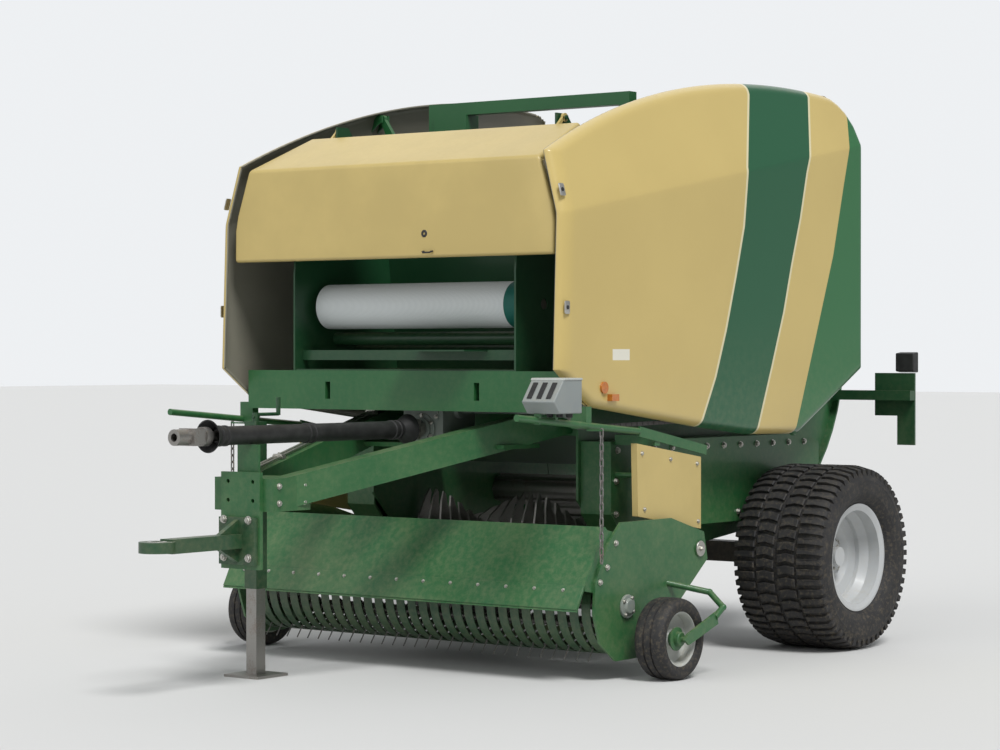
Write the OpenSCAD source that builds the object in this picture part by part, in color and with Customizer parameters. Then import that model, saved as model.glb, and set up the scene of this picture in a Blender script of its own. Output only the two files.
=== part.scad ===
// Round baler with a slat chamber, for towing behind a tractor.
// +X is the way it travels, +Y its left side, +Z up, and the floor is z = 0.
// Distances along the machine are measured forward from the wheel axle.

/* [Main wheels] */
// Outer diameter of a main tyre over its lugs
tyre_d = 890; // [850:10:920]
// Width of a main tyre
tyre_w = 490; // [420:10:500]
// Diameter of a main rim over its flanges
rim_d = 520; // [480:5:560]
// Width of a main rim between its outer edges
rim_w = 406; // [360:2:410]
// Distance from the middle of the machine to the middle of a main wheel
wheel_y = 1060; // [1055:5:1080]
// Lugs on each shoulder of a main tyre
lug_count = 30; // [24:2:36]
// Height of a lug above the tyre's casing
lug_h = 14; // [8:1:18]
// Radius of the wheel spindle
spindle_r = 35; // [28:1:42]
// Width of the square axle beam
axle_w = 100; // [80:5:110]

/* [Bale chamber] */
// Clear width between the chamber's side walls
bale_w = 1200; // [1160:10:1220]
// Thickness of a side wall
wall_t = 12; // [8:1:14]
// Outer radius of the chamber's walls
chamber_r = 950; // [940:5:960]
// Height of the chamber's middle above the ground
chamber_z = 1500; // [1490:5:1520]
// Radius of the circle on which the chamber's rollers lie
roller_circle = 860; // [850:2:866]
// Radius of a chamber roller over its ribs
roller_r = 78; // [60:1:80]
// Ribs on a chamber roller
roller_ribs = 8; // [6:1:10]
// Thickness of the curved cover sheets
sheet_t = 8; // [5:1:10]
// Tailgate hinge, forward of the axle
pivot_x = 190; // [180:5:200]
// Tailgate hinge, above the ground
pivot_z = 2330; // [2325:5:2340]
// Radius of a tailgate hinge pin
pivot_r = 30; // [24:1:34]

/* [Slat aprons] */
// Distance between two slats along an apron
slat_pitch = 112; // [100:2:130]
// Radius of a slat
slat_r = 13; // [10:1:15]
// Radius of an apron's outer run about the chamber's middle
apron_outer = 880; // [874:1:884]
// Radius of an apron's inner run about the chamber's middle
apron_inner = 820; // [800:2:830]
// Width of the chain that carries the slats at each end
apron_chain_w = 24; // [16:2:30]

/* [Side hoods] */
// Distance from the middle of the machine to a hood's flat side
hood_y = 1000; // [996:1:1010]
// Front edge of a hood, forward of the axle
hood_front = 2090; // [2080:5:2100]
// Rear edge of a hood, forward of the axle
hood_rear = -520; // [-560:10:-500]
// Highest point of a hood
hood_top = 2735; // [2725:5:2745]
// Lowest edge of a hood
hood_low = 1040; // [1030:5:1050]
// Wall thickness of a hood
hood_t = 10; // [6:1:14]
// Depth of the flange round a hood's rim
hood_flange = 45; // [35:1:48]
// Height of the crease at the front edge
crease_z = 2030; // [2000:10:2060]
// Slope of the crease, rising to the rear, in degrees
crease_tilt = 9.8; // [8:0.2:12]
// Inward lean above the crease, per unit of height
hood_lean = 0.29; // [0.25:0.01:0.31]
// Height of the hood's hinge line
hood_hinge_z = 2600; // [2590:5:2605]
// Distance of the hood's hinge line from the middle of the machine
hood_hinge_y = 845; // [840:1:850]
// Radius of a hood's hinge pin
hood_pin_r = 10; // [8:1:12]

/* [Net wrap] */
// Front face of the net hood, forward of the axle
net_front = 2048; // [2040:2:2050]
// Lower edge of the net hood
net_low = 1858; // [1840:2:1870]
// Fold between the net hood's face and its top
net_fold = 2285; // [2275:5:2290]
// Height of the net hood's hinge line above its fold
net_hinge_rise = 205; // [200:5:215]
// Net hood's hinge line, forward of the axle
net_hinge_x = 1600; // [1590:5:1610]
// Wall thickness of the net hood
net_t = 8; // [5:1:10]
// Radius of the net roll
net_roll_r = 105; // [90:1:110]
// Length of the net roll
net_roll_l = 1236; // [1200:2:1244]
// Middle of the net roll, forward of the axle
net_roll_x = 1735; // [1725:1:1745]
// Height of the middle of the net roll
net_roll_z = 1650; // [1640:1:1660]

/* [Frame and drawbar] */
// Distance from the middle to the outside of a side frame
frame_y = 780; // [770:2:785]
// Thickness of the side frame's folded plate
frame_t = 12; // [8:1:14]
// Width of a drawbar beam
arm_w = 90; // [80:2:96]
// Height of a drawbar beam
arm_h = 130; // [120:2:136]
// Middle of the hitch eye, forward of the axle
eye_x = 3520; // [3500:10:3560]
// Height of the middle of the hitch eye
eye_z = 640; // [620:5:660]
// Outer radius of the hitch eye
eye_r = 75; // [65:1:80]
// Radius of the hitch eye's hole
eye_bore = 25.5; // [20:0.5:32]
// Thickness of the hitch eye
eye_h = 45; // [40:1:50]
// Width of the jack's outer tube
jack_w = 70; // [66:1:76]
// Wall of the jack's tubes
jack_wall = 5; // [4:1:6]

/* [Drive line] */
// Height of the drive shaft
pto_z = 1085; // [1080:1:1088]
// Radius of the drive shaft
pto_r = 22; // [18:1:24]
// Outer radius of the drive shaft's guard tube
guard_r = 40; // [36:1:42]

/* [Feed rotor] */
// Feed rotor and pick-up hinge, forward of the axle
rotor_x = 1070; // [1060:2:1080]
// Height of the feed rotor and pick-up hinge
rotor_z = 540; // [530:2:545]
// Radius over the feed rotor's teeth
rotor_r = 228; // [215:1:232]
// Star plates on the feed rotor
rotor_stars = 15; // [12:1:17]
// Radius of the pick-up's hinge tube
pickup_pin_r = 40; // [36:1:44]

/* [Pick-up] */
// Distance from the middle to the inside of a pick-up side plate
pickup_half = 1030; // [1020:2:1040]
// Thickness of a pick-up side plate
pickup_plate = 12; // [8:1:14]
// Middle of the tine reel, forward of the axle
reel_x = 1660; // [1655:1:1665]
// Height of the middle of the tine reel
reel_z = 320; // [315:1:325]
// Radius over the tips of the tines
tine_r = 280; // [270:1:282]
// Radius of a tine
tine_wire = 3.2; // [2.5:0.1:3.5]
// Tine bars on the reel
tine_bars = 5; // [4:1:6]
// Distance between two tines on a bar
tine_pitch = 65; // [60:1:70]
// Outer radius of the stripper bands
band_r = 215; // [205:1:220]
// Width of a stripper band
band_w = 46; // [40:1:48]
// Thickness of a stripper band
band_t = 4; // [3:1:5]
// Diameter of a gauge wheel
gauge_d = 360; // [340:5:368]
// Width of a gauge wheel
gauge_w = 150; // [120:5:160]
// Gauge wheel, forward of the axle
gauge_x = 1556; // [1540:2:1570]
// Distance from a pick-up side plate to the middle of its gauge wheel
gauge_out = 170; // [165:1:175]

/* [Hidden] */
$fn = 48;

// The wheel axle's place, with the middle of the machine's length at x = 0
axle_x = -(eye_x + eye_r - chamber_r) / 2;
// Small clearances
seat = 0.3;
fit = 0.06;

// Colours
green = [0.13, 0.33, 0.17];
dark_green = [0.07, 0.22, 0.12];
beige = [0.80, 0.71, 0.47];
black = [0.07, 0.07, 0.07];
steel = [0.62, 0.63, 0.62];
rim_grey = [0.72, 0.74, 0.75];
box_grey = [0.42, 0.47, 0.44];

// Heights and faces that follow from the sizes above
tyre_r = tyre_d / 2;
casing_r = tyre_r - lug_h;
axle_z = tyre_r;
wall_in = bale_w / 2;
wall_out = wall_in + wall_t;
bead_r = rim_d / 2 - 24;
gauge_y = pickup_half + gauge_out;
net_hinge_z = net_fold + net_hinge_rise;

// Left pieces are drawn for the left side, right ones are their mirror images
module from_axle() translate([axle_x, 0, 0]) children();
module on_side(side) {
    if (side > 0) children();
    else mirror([0, 1, 0]) children();
}
module both_sides() {
    children();
    mirror([0, 1, 0]) children();
}

// A block from its low and high coordinate on each axis
module block(x, y, z)
    translate([x[0], y[0], z[0]]) cube([x[1] - x[0], y[1] - y[0], z[1] - z[0]]);
// A shape drawn in x and z, carried along y between two values
module slab(y)
    translate([0, y[1], 0]) rotate([90, 0, 0]) linear_extrude(y[1] - y[0]) children();
module plate(points, y) slab(y) polygon(points);
module bar_y(x, z, r, y)
    translate([x, y[0], z]) rotate([-90, 0, 0]) cylinder(r = r, h = y[1] - y[0]);
module bar_x(x, y, z, r)
    translate([x[0], y, z]) rotate([0, 90, 0]) cylinder(r = r, h = x[1] - x[0]);
module along(a, b)
    translate(a) rotate([0, acos((b - a)[2] / norm(b - a)), atan2((b - a)[1], (b - a)[0])]) children();
module strut(a, b, r) along(a, b) cylinder(r = r, h = norm(b - a));
module beam(a, b, w, h) along(a, b) translate([-h / 2, -w / 2, 0]) cube([h, w, norm(b - a)]);

function polar(c, r, a) = [c[0] + r * cos(a), c[1] + r * sin(a)];
function arc(c, r, a0, a1, steps) = [for (i = [0:steps]) polar(c, r, a0 + (a1 - a0) * i / steps)];
function reversed(points) = [for (i = [len(points) - 1:-1:0]) points[i]];
// Moves every edge of a closed outline inwards by d; the outline runs anticlockwise
function unit(v) = v / norm(v);
function left_of(v) = [-v[1], v[0]];
function inset(p, d) = [for (i = [0:len(p) - 1])
    let (n1 = left_of(unit(p[i] - p[(i + len(p) - 1) % len(p)])),
        n2 = left_of(unit(p[(i + 1) % len(p)] - p[i])))
    p[i] + d * (n1 + n2) / (1 + n1 * n2)];

chamber = [0, chamber_z];

// Part of a ring about the chamber's middle, drawn in x and z
module ring_sector(r_in, r_out, a0, a1, c = chamber)
    polygon(concat(arc(c, r_out, a0, a1, 24), reversed(arc(c, r_in, a0, a1, 24))));

// The line that parts the tailgate from the front of the chamber
split_top = [pivot_x - 40, pivot_z - 130];
split_low = [-50, 530];
split_gap = 8;
pivot_clear = 130;

// Chamber walls

// Round the feed rotor the wall stays inside the sweep of the pick-up's upper beam
rotor_at = [rotor_x, rotor_z];
front_wall_edge = concat(
    [[split_low[0] + split_gap, 555], [300, 520], [800, 450]],
    arc(rotor_at, rotor_r + 34, 210, 300, 8),
    arc(rotor_at, rotor_r - 6, 318, 380, 6),
    [[1340, 680], [1420, 760], [1420, 1340], [1150, 1340], [1150, 2150], [900, 2360], [520, 2425],
        [pivot_x + 60, 2432], [pivot_x, 2432], [split_top[0] + split_gap, split_top[1]]]
);

module chamber_walls() {
    color(green) from_axle() both_sides() {
        difference() {
            union() {
                plate(front_wall_edge, [wall_in, wall_out]);
                bar_y(pivot_x, pivot_z, pivot_clear - 10, [wall_in, wall_out]);
                bar_y(pivot_x, pivot_z, pivot_r, [wall_in, wall_out + 32]);
                // Pin for the tailgate cylinder, on a boss
                bar_y(cyl_base[0], cyl_base[1], cyl_pin_r, [wall_in, cyl_mid + cyl_eye_w / 2 + 4]);
                bar_y(cyl_base[0], cyl_base[1], 34, [wall_out - 1, cyl_mid - cyl_eye_w / 2 - 2]);
                // Stiffening ribs on the outside
                plate([[420, 1250], [460, 1250], [460, 2170], [420, 2170]], [wall_out - 1, wall_out + 26]);
                plate([[900, 1360], [940, 1360], [940, 2250], [900, 2250]], [wall_out - 1, wall_out + 26]);
                plate([[300, 1560], [1130, 1560], [1130, 1600], [300, 1600]], [wall_out - 1, wall_out + 26]);
            }
            bar_y(rotor_x, rotor_z, pickup_pin_r + fit, [wall_in - 5, wall_out + 5]);
        }
    }
}

// Curved roof, front sheet and throat sheet of the chamber's front half
roof_a0 = 18;
roof_a1 = 74;

module chamber_cover() {
    color(dark_green) from_axle() {
        slab([-wall_in, wall_in]) ring_sector(chamber_r - sheet_t, chamber_r, roof_a0, roof_a1);
        plate([polar(chamber, chamber_r - sheet_t, roof_a0), polar(chamber, chamber_r, roof_a0),
            [925, 1345], [925 - sheet_t, 1345]], [-wall_in, wall_in]);
        plate([[1252, cross_low], [905, 909], [905, 899], [1276, cross_low]], [-wall_in, wall_in]);
    }
}

// Columns: angle about the chamber's middle
roller_angles = [-20, -62, -85];

module ribbed_roller(angle, rib_h = 12) {
    p = polar(chamber, roller_circle, angle);
    bar_y(p[0], p[1], roller_r - rib_h, [-wall_in, wall_in]);
    for (i = [0:roller_ribs - 1])
        translate([p[0], 0, p[1]]) rotate([0, i * 360 / roller_ribs, 0])
            block([roller_r - rib_h - 4, roller_r], [-wall_in + 6, wall_in - 6], [-6, 6]);
}

module chamber_rollers() {
    color(steel) from_axle() for (a = roller_angles) ribbed_roller(a);
}

// Slat apron: an endless band of slats between two side chains, laid as one loop from a0 to a1 degrees
front_apron = [-4, 66];
rear_apron = [99, 238];
chain_out = wall_in - 8;
chain_in = chain_out - apron_chain_w;

module apron_chains(a) {
    middle = (apron_outer + apron_inner) / 2;
    turn_r = (apron_outer - apron_inner) / 2;
    half = 3;
    both_sides() slab([chain_in, chain_out]) {
        for (r = [apron_outer, apron_inner]) ring_sector(r - half, r + half, a[0], a[1]);
        for (end = [[a[0], 180], [a[1], 0]]) let (turn = end[0] + end[1])
            ring_sector(turn_r - half, turn_r + half, turn, turn + 180, polar(chamber, middle, end[0]));
    }
}

module apron_slats(a) {
    for (r = [apron_outer, apron_inner]) let (steps = floor(r * PI * (a[1] - a[0]) / 180 / slat_pitch))
        for (i = [0:steps]) let (p = polar(chamber, r, a[0] + (a[1] - a[0]) * i / steps))
            bar_y(p[0], p[1], slat_r, [-chain_in, chain_in]);
}

module front_slat_apron() {
    color(steel) from_axle() apron_slats(front_apron);
}

module front_apron_chains() {
    color(steel) from_axle() apron_chains(front_apron);
}

// Frame

cross_low = 1052;

module main_frame() {
    color(green) from_axle() {
        // Cross member between the walls, with the drawbar's face in front
        block([1250, 1350], [-wall_in, wall_in], [cross_low, 1208]);
        // Cross tube at the tailgate's hinge
        bar_y(pivot_x, pivot_z, 38, [-wall_in, wall_in]);
        both_sides() block([900, 1850], [wall_out, wall_out + 80], [1212, 1340]);
        // Front cross beam with a slot at each side
        difference() {
            block([1850, 1950], [-930, 930], [1172, 1352]);
            both_sides() block([1840, 1960], [420, 450], [1220, 1300]);
        }
        // Tension frame over the roof
        both_sides() block([930, 990], [wall_in - 60, wall_in], [2200, 2600]);
        block([930, 990], [-wall_in, wall_in], [2600, 2660]);
        block([900, 1000], [-wall_in + 40, -wall_in + 240], [2500, 2600]);
    }
}

side_frame_edge = [
    [-450, 880], [-300, 720], [150, 620], [1330, 620], [1400, 700], [1400, 1030], [-250, 1030], [-450, 985]
];

// Height of the frame's sloping lower edge over the axle
function frame_low(x) = let (a = side_frame_edge[1], b = side_frame_edge[2])
    a[1] + (b[1] - a[1]) * (x - a[0]) / (b[0] - a[0]);

module side_frames() {
    inner_edge = inset(side_frame_edge, frame_t);
    color(green) from_axle() both_sides() {
        plate(side_frame_edge, [frame_y - frame_t, frame_y]);
        difference() {
            plate(side_frame_edge, [wall_out, frame_y]);
            plate(inner_edge, [wall_out - 5, frame_y - frame_t + 1]);
            block([-600, 60], [wall_out - 5, wall_out + 48], [500, 1100]);
        }
        // Stays that carry the lower panel
        for (x = [1080, 1360]) bar_y(x, 880, 12, [frame_y - 2, hood_y - 10]);
        // Hinge tube of the pick-up, hung from the frame by two plates
        bar_y(rotor_x, rotor_z, pickup_pin_r, [wall_out + 20, pickup_half + pickup_plate + 3]);
        for (y = [wall_out + 24, frame_y - 24]) {
            block([rotor_x - 60, rotor_x + 60], [y, y + 12], [rotor_z, side_frame_edge[2][1] + 5]);
            bar_y(rotor_x, rotor_z, 60, [y, y + 12]);
        }
    }
}

module axle_beam() {
    color(black) from_axle() {
        block([-axle_w / 2, axle_w / 2], [-795, 795], [axle_z - axle_w / 2, axle_z + axle_w / 2]);
        both_sides() {
            bar_y(0, axle_z, spindle_r, [790, wheel_y + 52]);
            bar_y(0, axle_z, 62, [790, 805]);
            // Upright plates that bolt under the side frame
            for (y = [670, 748]) plate([[-120, axle_z + axle_w / 2 - 2], [120, axle_z + axle_w / 2 - 2],
                [120, frame_low(120)], [-120, frame_low(-120)]], [y, y + 12]);
        }
    }
}

lower_panel_edge = [[985, 625], [1500, 705], [1510, 1030], [985, 955]];

module lower_panels() {
    color(beige) from_axle() both_sides() {
        plate(lower_panel_edge, [hood_y - 10, hood_y - 4]);
        difference() {
            plate(lower_panel_edge, [hood_y - 35, hood_y - 5]);
            plate(inset(lower_panel_edge, 5), [hood_y - 40, hood_y - 6]);
            block([1050, 1110], [hood_y - 40, hood_y - 10], [850, 910]);
            block([1330, 1390], [hood_y - 40, hood_y - 10], [850, 910]);
        }
    }
}

rail_front = [2410, 1000, 1160];
rail_mid = [1500, 1000, 1084];
rail_rear = [950, 1000, 985];
box_seat = 1176;

module side_rails() {
    color(green) from_axle() both_sides() {
        strut(rail_front, rail_mid, 15);
        beam(rail_mid, rail_rear, 10, 44);
        // Lug on the end of the front cross beam
        block([1880, 1920], [930, 1010], [1105, 1200]);
        // Bracket on the side frame
        block([1330, 1370], [frame_y, 1000], [1016, 1062]);
        // Hook that passes through the guard chain's top link
        block([chain_x - 4, chain_x + 4], [1000, chain_y + 8], [hook_top - 7, hook_top]);
    }
    // Saddles under the control box
    color(green) from_axle() for (x = [2130, 2250]) block([x, x + 20], [988, 1012], [1130, box_seat]);
}

control_profile = [
    [2105, box_seat], [2270, box_seat], [2310, box_seat + 50], [2235, box_seat + 150], [2105, box_seat + 150]
];

module control_box() {
    color(box_grey) from_axle() difference() {
        plate(control_profile, [950, 1120]);
        for (y = [985, 1035, 1085]) translate([2290, y, box_seat + 95]) rotate([0, -53, 0])
            cube([70, 16, 24], center = true);
    }
}

// Flat chain links, each turned a quarter against the last
link_l = 46;
link_bar = 7;
link_step = link_l - 2 * link_bar;
chain_links = 18;
chain_x = 1901;
chain_y = 1078;
hook_top = 1102;

module chain_link()
    rotate([90, 0, 0]) linear_extrude(6, center = true) difference() {
        square([22, link_l], center = true);
        square([10, link_l - 2 * link_bar], center = true);
    }

module guard_chains() {
    color(steel) from_axle() both_sides() for (i = [0:chain_links - 1])
        translate([chain_x, chain_y, hook_top + seat + link_bar - link_l / 2 - i * link_step])
            rotate([0, 0, 90 * (i % 2)]) chain_link();
}

// Chain drive on the left, from the gearbox's cross shaft to the chamber's upper roller

shaft_x = 1665;
shaft_z = 1180;
shaft_tube_r = 40;
drive_y = frame_y + 6;
drive_w = 12;
drive_chain_t = 12;
// Columns: place in x and z, radius of the sprocket, its bore and its teeth
sprockets = [[[shaft_x, shaft_z], 84, shaft_tube_r + fit, 22],
    [polar(chamber, roller_circle, roller_angles[0]), 98, 24, 26]];

module drive_sprockets() {
    color(steel) from_axle() {
        for (s = sprockets) let (c = s[0], r = s[1], teeth = s[3])
            slab([drive_y, drive_y + drive_w]) difference() {
            translate(c) polygon([for (i = [0:teeth * 4 - 1])
                polar([0, 0], i % 4 < 2 ? r : r - 10, (i + (i % 2) * 0.4) * 90 / teeth)]);
            translate(c) circle(r = s[2]);
            // Lightening holes
            for (k = [0:4]) translate(polar(c, (r + s[2]) / 2 - 3, k * 72)) circle(r = (r - s[2]) / 2 - 14);
        }
        // Shaft end and bearing of the roller
        let (c = sprockets[1][0]) {
            bar_y(c[0], c[1], 24, [wall_out, drive_y + drive_w + 14]);
            bar_y(c[0], c[1], 58, [wall_out, wall_out + 14]);
            bar_y(c[0], c[1], 40, [wall_out, wall_out + 30]);
        }
    }
}

module sprocket_loop(grow) hull() for (s = sprockets) translate(s[0]) circle(r = s[1] + grow);

module drive_chain() {
    color(steel) from_axle() slab([drive_y - 4, drive_y + drive_w + 4]) difference() {
        sprocket_loop(seat + drive_chain_t);
        sprocket_loop(seat);
    }
}

// Net wrap box

net_plate_in = 640;
net_plate_t = 10;

module net_box() {
    top = net_hinge_z + 20;
    edge = [[1150, 1340], [1850, 1340], [1850, 1352], [1945, 1352], [1945, net_low - 58],
        [1900, net_fold - 85], [net_hinge_x + 40, top - 70],
        [net_hinge_x + 40, top], [net_hinge_x - 40, top],
        [net_hinge_x - 100, top - 70], [1150, net_fold - 85]];
    color(dark_green) from_axle() {
        both_sides() {
            difference() {
                plate(edge, [net_plate_in, net_plate_in + net_plate_t]);
                // Bore for the roll's spindle
                bar_y(net_roll_x, net_roll_z, 24 + fit, [net_plate_in - 5, net_plate_in + 20]);
            }
            bar_y(net_hinge_x, net_hinge_z, 10, [net_plate_in, net_plate_in + 40]);
        }
        // Floor and rear sheet of the box
        block([1160, 1940], [-net_plate_in, net_plate_in], [1352, 1358]);
        plate([[1180, 1358], [1190, 1358], [1290, 2180], [1280, 2180]], [-net_plate_in, net_plate_in]);
        // Feed rollers under the roll
        bar_y(1640, 1500, 32, [-net_plate_in, net_plate_in]);
        bar_y(1480, 1440, 32, [-net_plate_in, net_plate_in]);
        // Small tray in front of the rollers
        block([1880, 2060], [60, 450], [1440, 1446]);
        block([1880, 1890], [-net_plate_in, net_plate_in], [1400, 1446]);
    }
}

module net_roll() {
    half = net_roll_l / 2;
    color([0.72, 0.75, 0.76]) from_axle() {
        bar_y(net_roll_x, net_roll_z, net_roll_r, [-half, half]);
        bar_y(net_roll_x, net_roll_z, 24, [-net_plate_in - 8, net_plate_in + 8]);
    }
}

net_half_low = hood_y - hood_flange - 27;

module net_hood() {
    rear = [net_hinge_x + 56, net_hinge_z - 31];
    outer = [[net_front + 2, net_low], [net_front - 5, net_fold], rear,
        rear - [21, 45], [net_front - 70, net_fold - 38], [net_front - 62, net_low]];
    color(beige) from_axle() {
        difference() {
            intersection() {
                plate(outer, [-hood_y, hood_y]);
                net_width(0);
            }
            intersection() {
                translate([-net_t - 0.5, 0, -net_t]) plate([[net_front + 2, net_low + 2 * net_t],
                    [net_front - 5, net_fold], [net_hinge_x + 20, net_hinge_z - 16],
                    [net_hinge_x - 80, net_hinge_z - 120], [net_front - 150, net_fold - 100],
                    [net_front - 150, net_low + 2 * net_t]], [-hood_y, hood_y]);
                net_width(net_t);
            }
        }
        // Hinge lugs
        both_sides() difference() {
            plate([[net_hinge_x - 20, net_hinge_z + 14], [net_hinge_x - 20, net_hinge_z - 14],
                [net_hinge_x, net_hinge_z - 22], rear - [0, 26], rear + [90, -66],
                rear + [90, -44], rear + [4, -6],
                [net_hinge_x + 20, net_hinge_z + 14]],
                [net_plate_in + net_plate_t + 8, net_plate_in + net_plate_t + 20]);
            bar_y(net_hinge_x, net_hinge_z, 10 + fit, [net_plate_in, net_plate_in + 50]);
        }
    }
}

// Width of the net hood, which narrows above the side hoods' crease
module net_width(less) {
    w0 = net_half_low - less;
    rise = net_hinge_z + 10 - crease_z;
    w1 = w0 - (hood_lean + 0.04) * rise;
    translate([1400, 0, 0]) rotate([90, 0, 90]) linear_extrude(800)
        polygon([[-w0, 1700], [w0, 1700], [w0, crease_z], [w1, crease_z + rise],
            [-w1, crease_z + rise], [-w0, crease_z]]);
}

// Side hoods

top_arc_r = 4700;
top_mid = 100;
top_front = hood_front - 35;
rear_round = 260;
hood_edge = concat(
    [[100, hood_low], [560, hood_low + 8], [1000, hood_low + 54], [1860, hood_low + 160],
        [hood_front, hood_low + 320]],
    arc([top_mid, hood_top - top_arc_r], top_arc_r, acos((top_front - top_mid) / top_arc_r),
        acos((hood_rear + rear_round - top_mid) / top_arc_r), 12),
    arc([hood_rear + rear_round, hood_top - rear_round - 14], rear_round, 84, 180, 6),
    [[hood_rear, hood_low + 310]]
);

// Everything inside the hood's side, down to a given depth; the side leans inwards above the crease
module hood_band(less, depth) {
    down = 1600;
    up = 900;
    y0 = hood_y - less;
    y1 = y0 - hood_lean * up;
    translate([hood_front, 0, crease_z]) rotate([0, crease_tilt, 0]) rotate([90, 0, 90])
        translate([0, 0, -3200]) linear_extrude(3600) polygon([[y0 - depth, -down], [y0, -down], [y0, 0],
            [y1, up], [y1 - depth, up], [y0 - depth, 0]]);
}

// Plan of a hood, with rounded front and rear corners
module hood_plan(less) {
    r = 42;
    rr = max(r - less, 1);
    translate([0, 0, 900]) linear_extrude(2000) polygon(concat(
        arc([hood_front - r, hood_y - r], rr, 0, 90, 5), arc([hood_rear + r, hood_y - r], rr, 90, 180, 5),
        [[hood_rear + less, 400], [hood_front - less, 400]]));
}

// Columns: hinge arm's place forward of the axle
hinge_x = [450, 1050];

module side_hood(side) {
    color(beige) from_axle() on_side(side) {
        difference() {
            intersection() {
                plate(hood_edge, [600, hood_y + 50]);
                hood_band(0, hood_flange);
                hood_plan(0);
            }
            intersection() {
                plate(inset(hood_edge, hood_t), [500, hood_y + 50]);
                hood_band(hood_t, 300);
                hood_plan(hood_t);
            }
        }
    }
}

// Hinge brackets inside the hood, one plate on each side of an arm's eye, with the pin through them
module hood_brackets(side) {
    color(green) from_axle() on_side(side) for (x = hinge_x) {
        bar_x([x - 32, x + 32], hood_hinge_y, hood_hinge_z, hood_pin_r);
        for (dx = [-30, 20]) intersection() {
            translate([x + dx, 0, 0]) rotate([90, 0, 90]) linear_extrude(10) polygon([
                [hood_hinge_y - 16, hood_hinge_z - 20], [hood_hinge_y + 10, hood_hinge_z - 30],
                [hood_y, hood_hinge_z - 160], [hood_y, hood_hinge_z + 16],
                [hood_hinge_y - 16, hood_hinge_z + 16]]);
            hood_band(hood_t, 300);
        }
    }
}

module hood_markers(side) {
    color([0.85, 0.45, 0.1]) from_axle() on_side(side) {
        bar_y(1776, 1281, 26, [hood_y, hood_y + 10]);
        block([1690, 1745], [hood_y, hood_y + 26], [1222, 1252]);
    }
}

module hood_hinge_arms() {
    color(green) from_axle() both_sides() for (x = hinge_x) {
        difference() {
            union() {
                translate([x - 12, 0, 0]) rotate([90, 0, 90]) linear_extrude(24) polygon([
                    [wall_out, 2180], [wall_out + 40, 2180], [hood_hinge_y + 8, hood_hinge_z - 10],
                    [hood_hinge_y - 10, hood_hinge_z + 8], [wall_out, 2290]]);
                bar_x([x - 12, x + 12], hood_hinge_y, hood_hinge_z, hood_pin_r + 9);
            }
            bar_x([x - 20, x + 20], hood_hinge_y, hood_hinge_z, hood_pin_r + fit);
        }
    }
}

// Drawbar

arm_rear = [1368, 500, 1130];
arm_front = [2880, 110, 840];

// Middle of the left drawbar beam, so far forward of the axle
function arm_at(x) = arm_rear + (arm_front - arm_rear) * (x - arm_rear[0]) / (arm_front - arm_rear)[0];

module drawbar() {
    color(green) from_axle() difference() {
        union() {
            both_sides() {
                beam(arm_rear, arm_front, arm_w, arm_h);
                block([1350, 1372], [430, 590], [1055, 1206]);
            }
            // Front block and the flanged plate that takes the eye
            block([2760, 3000], [-165, 165], [765, 905]);
            block([3000, 3020], [-110, 110], [520, 930]);
            // Platform for the gearbox
            block([1530, 1800], [-475, 475], [1000, 1020]);
            // Upright that carries the drive shaft's guard
            block([2960, 2972], [-60, 60], [900, pto_z - guard_r - seat]);
            // Bracket for the jack, on the right beam
            for (z = [-46, 24]) let (b = arm_at(jack_x))
                block([jack_x - 60, jack_x + 60], [jack_y + jack_w / 2, -b[1]], [b[2] + z, b[2] + z + 12]);
        }
        for (y = [-70, 70]) for (z = [570, 650, 730, 810, 890])
            bar_x([2990, 3030], y, z, 9);
        block([1300, 1350], [-700, 700], [900, 1400]);
    }
}

module hitch_eye() {
    color(dark_green) from_axle() difference() {
        union() {
            block([3020, 3045], [-100, 100], [540, 740]);
            beam([3040, 0, eye_z], [eye_x - eye_r + 20, 0, eye_z], 70, 60);
            plate([[3045, eye_z - 90], [3160, eye_z - 30], [3160, eye_z + 30], [3045, eye_z + 90]],
                [-12, 12]);
            translate([eye_x, 0, eye_z - eye_h / 2]) cylinder(r = eye_r, h = eye_h);
        }
        translate([eye_x, 0, eye_z - eye_h]) cylinder(r = eye_bore, h = eye_h * 2);
        for (y = [-70, 70]) for (z = [570, 650, 730]) if (abs(z - eye_z) > 40)
            bar_x([3010, 3055], y, z, 9);
    }
}

jack_x = 2560;
jack_y = -330;
jack_gap = 0.3;

module jack_tube() {
    r = jack_w / 2;
    color(dark_green) from_axle() {
        difference() {
            block([jack_x - r, jack_x + r], [jack_y - r, jack_y + r], [390, 1130]);
            block([jack_x - r + jack_wall, jack_x + r - jack_wall],
                [jack_y - r + jack_wall, jack_y + r - jack_wall], [380, 1124]);
        }
        // Crank on top
        bar_x([jack_x - 20, jack_x + 20], jack_y, 1150, 8);
        translate([jack_x, jack_y, 1128]) cylinder(r = 14, h = 40);
        strut([jack_x, jack_y, 1160], [jack_x - 150, jack_y, 1160], 8);
        strut([jack_x - 150, jack_y, 1155], [jack_x - 150, jack_y, 1235], 10);
    }
}

module jack_leg() {
    r = jack_w / 2 - jack_wall - jack_gap;
    color(steel) from_axle() {
        difference() {
            block([jack_x - r, jack_x + r], [jack_y - r, jack_y + r], [10, 740]);
            block([jack_x - r + jack_wall, jack_x + r - jack_wall],
                [jack_y - r + jack_wall, jack_y + r - jack_wall], [20, 750]);
        }
        block([jack_x - 100, jack_x + 100], [jack_y - 100, jack_y + 100], [0, 12]);
    }
}

// Drive line

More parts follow.
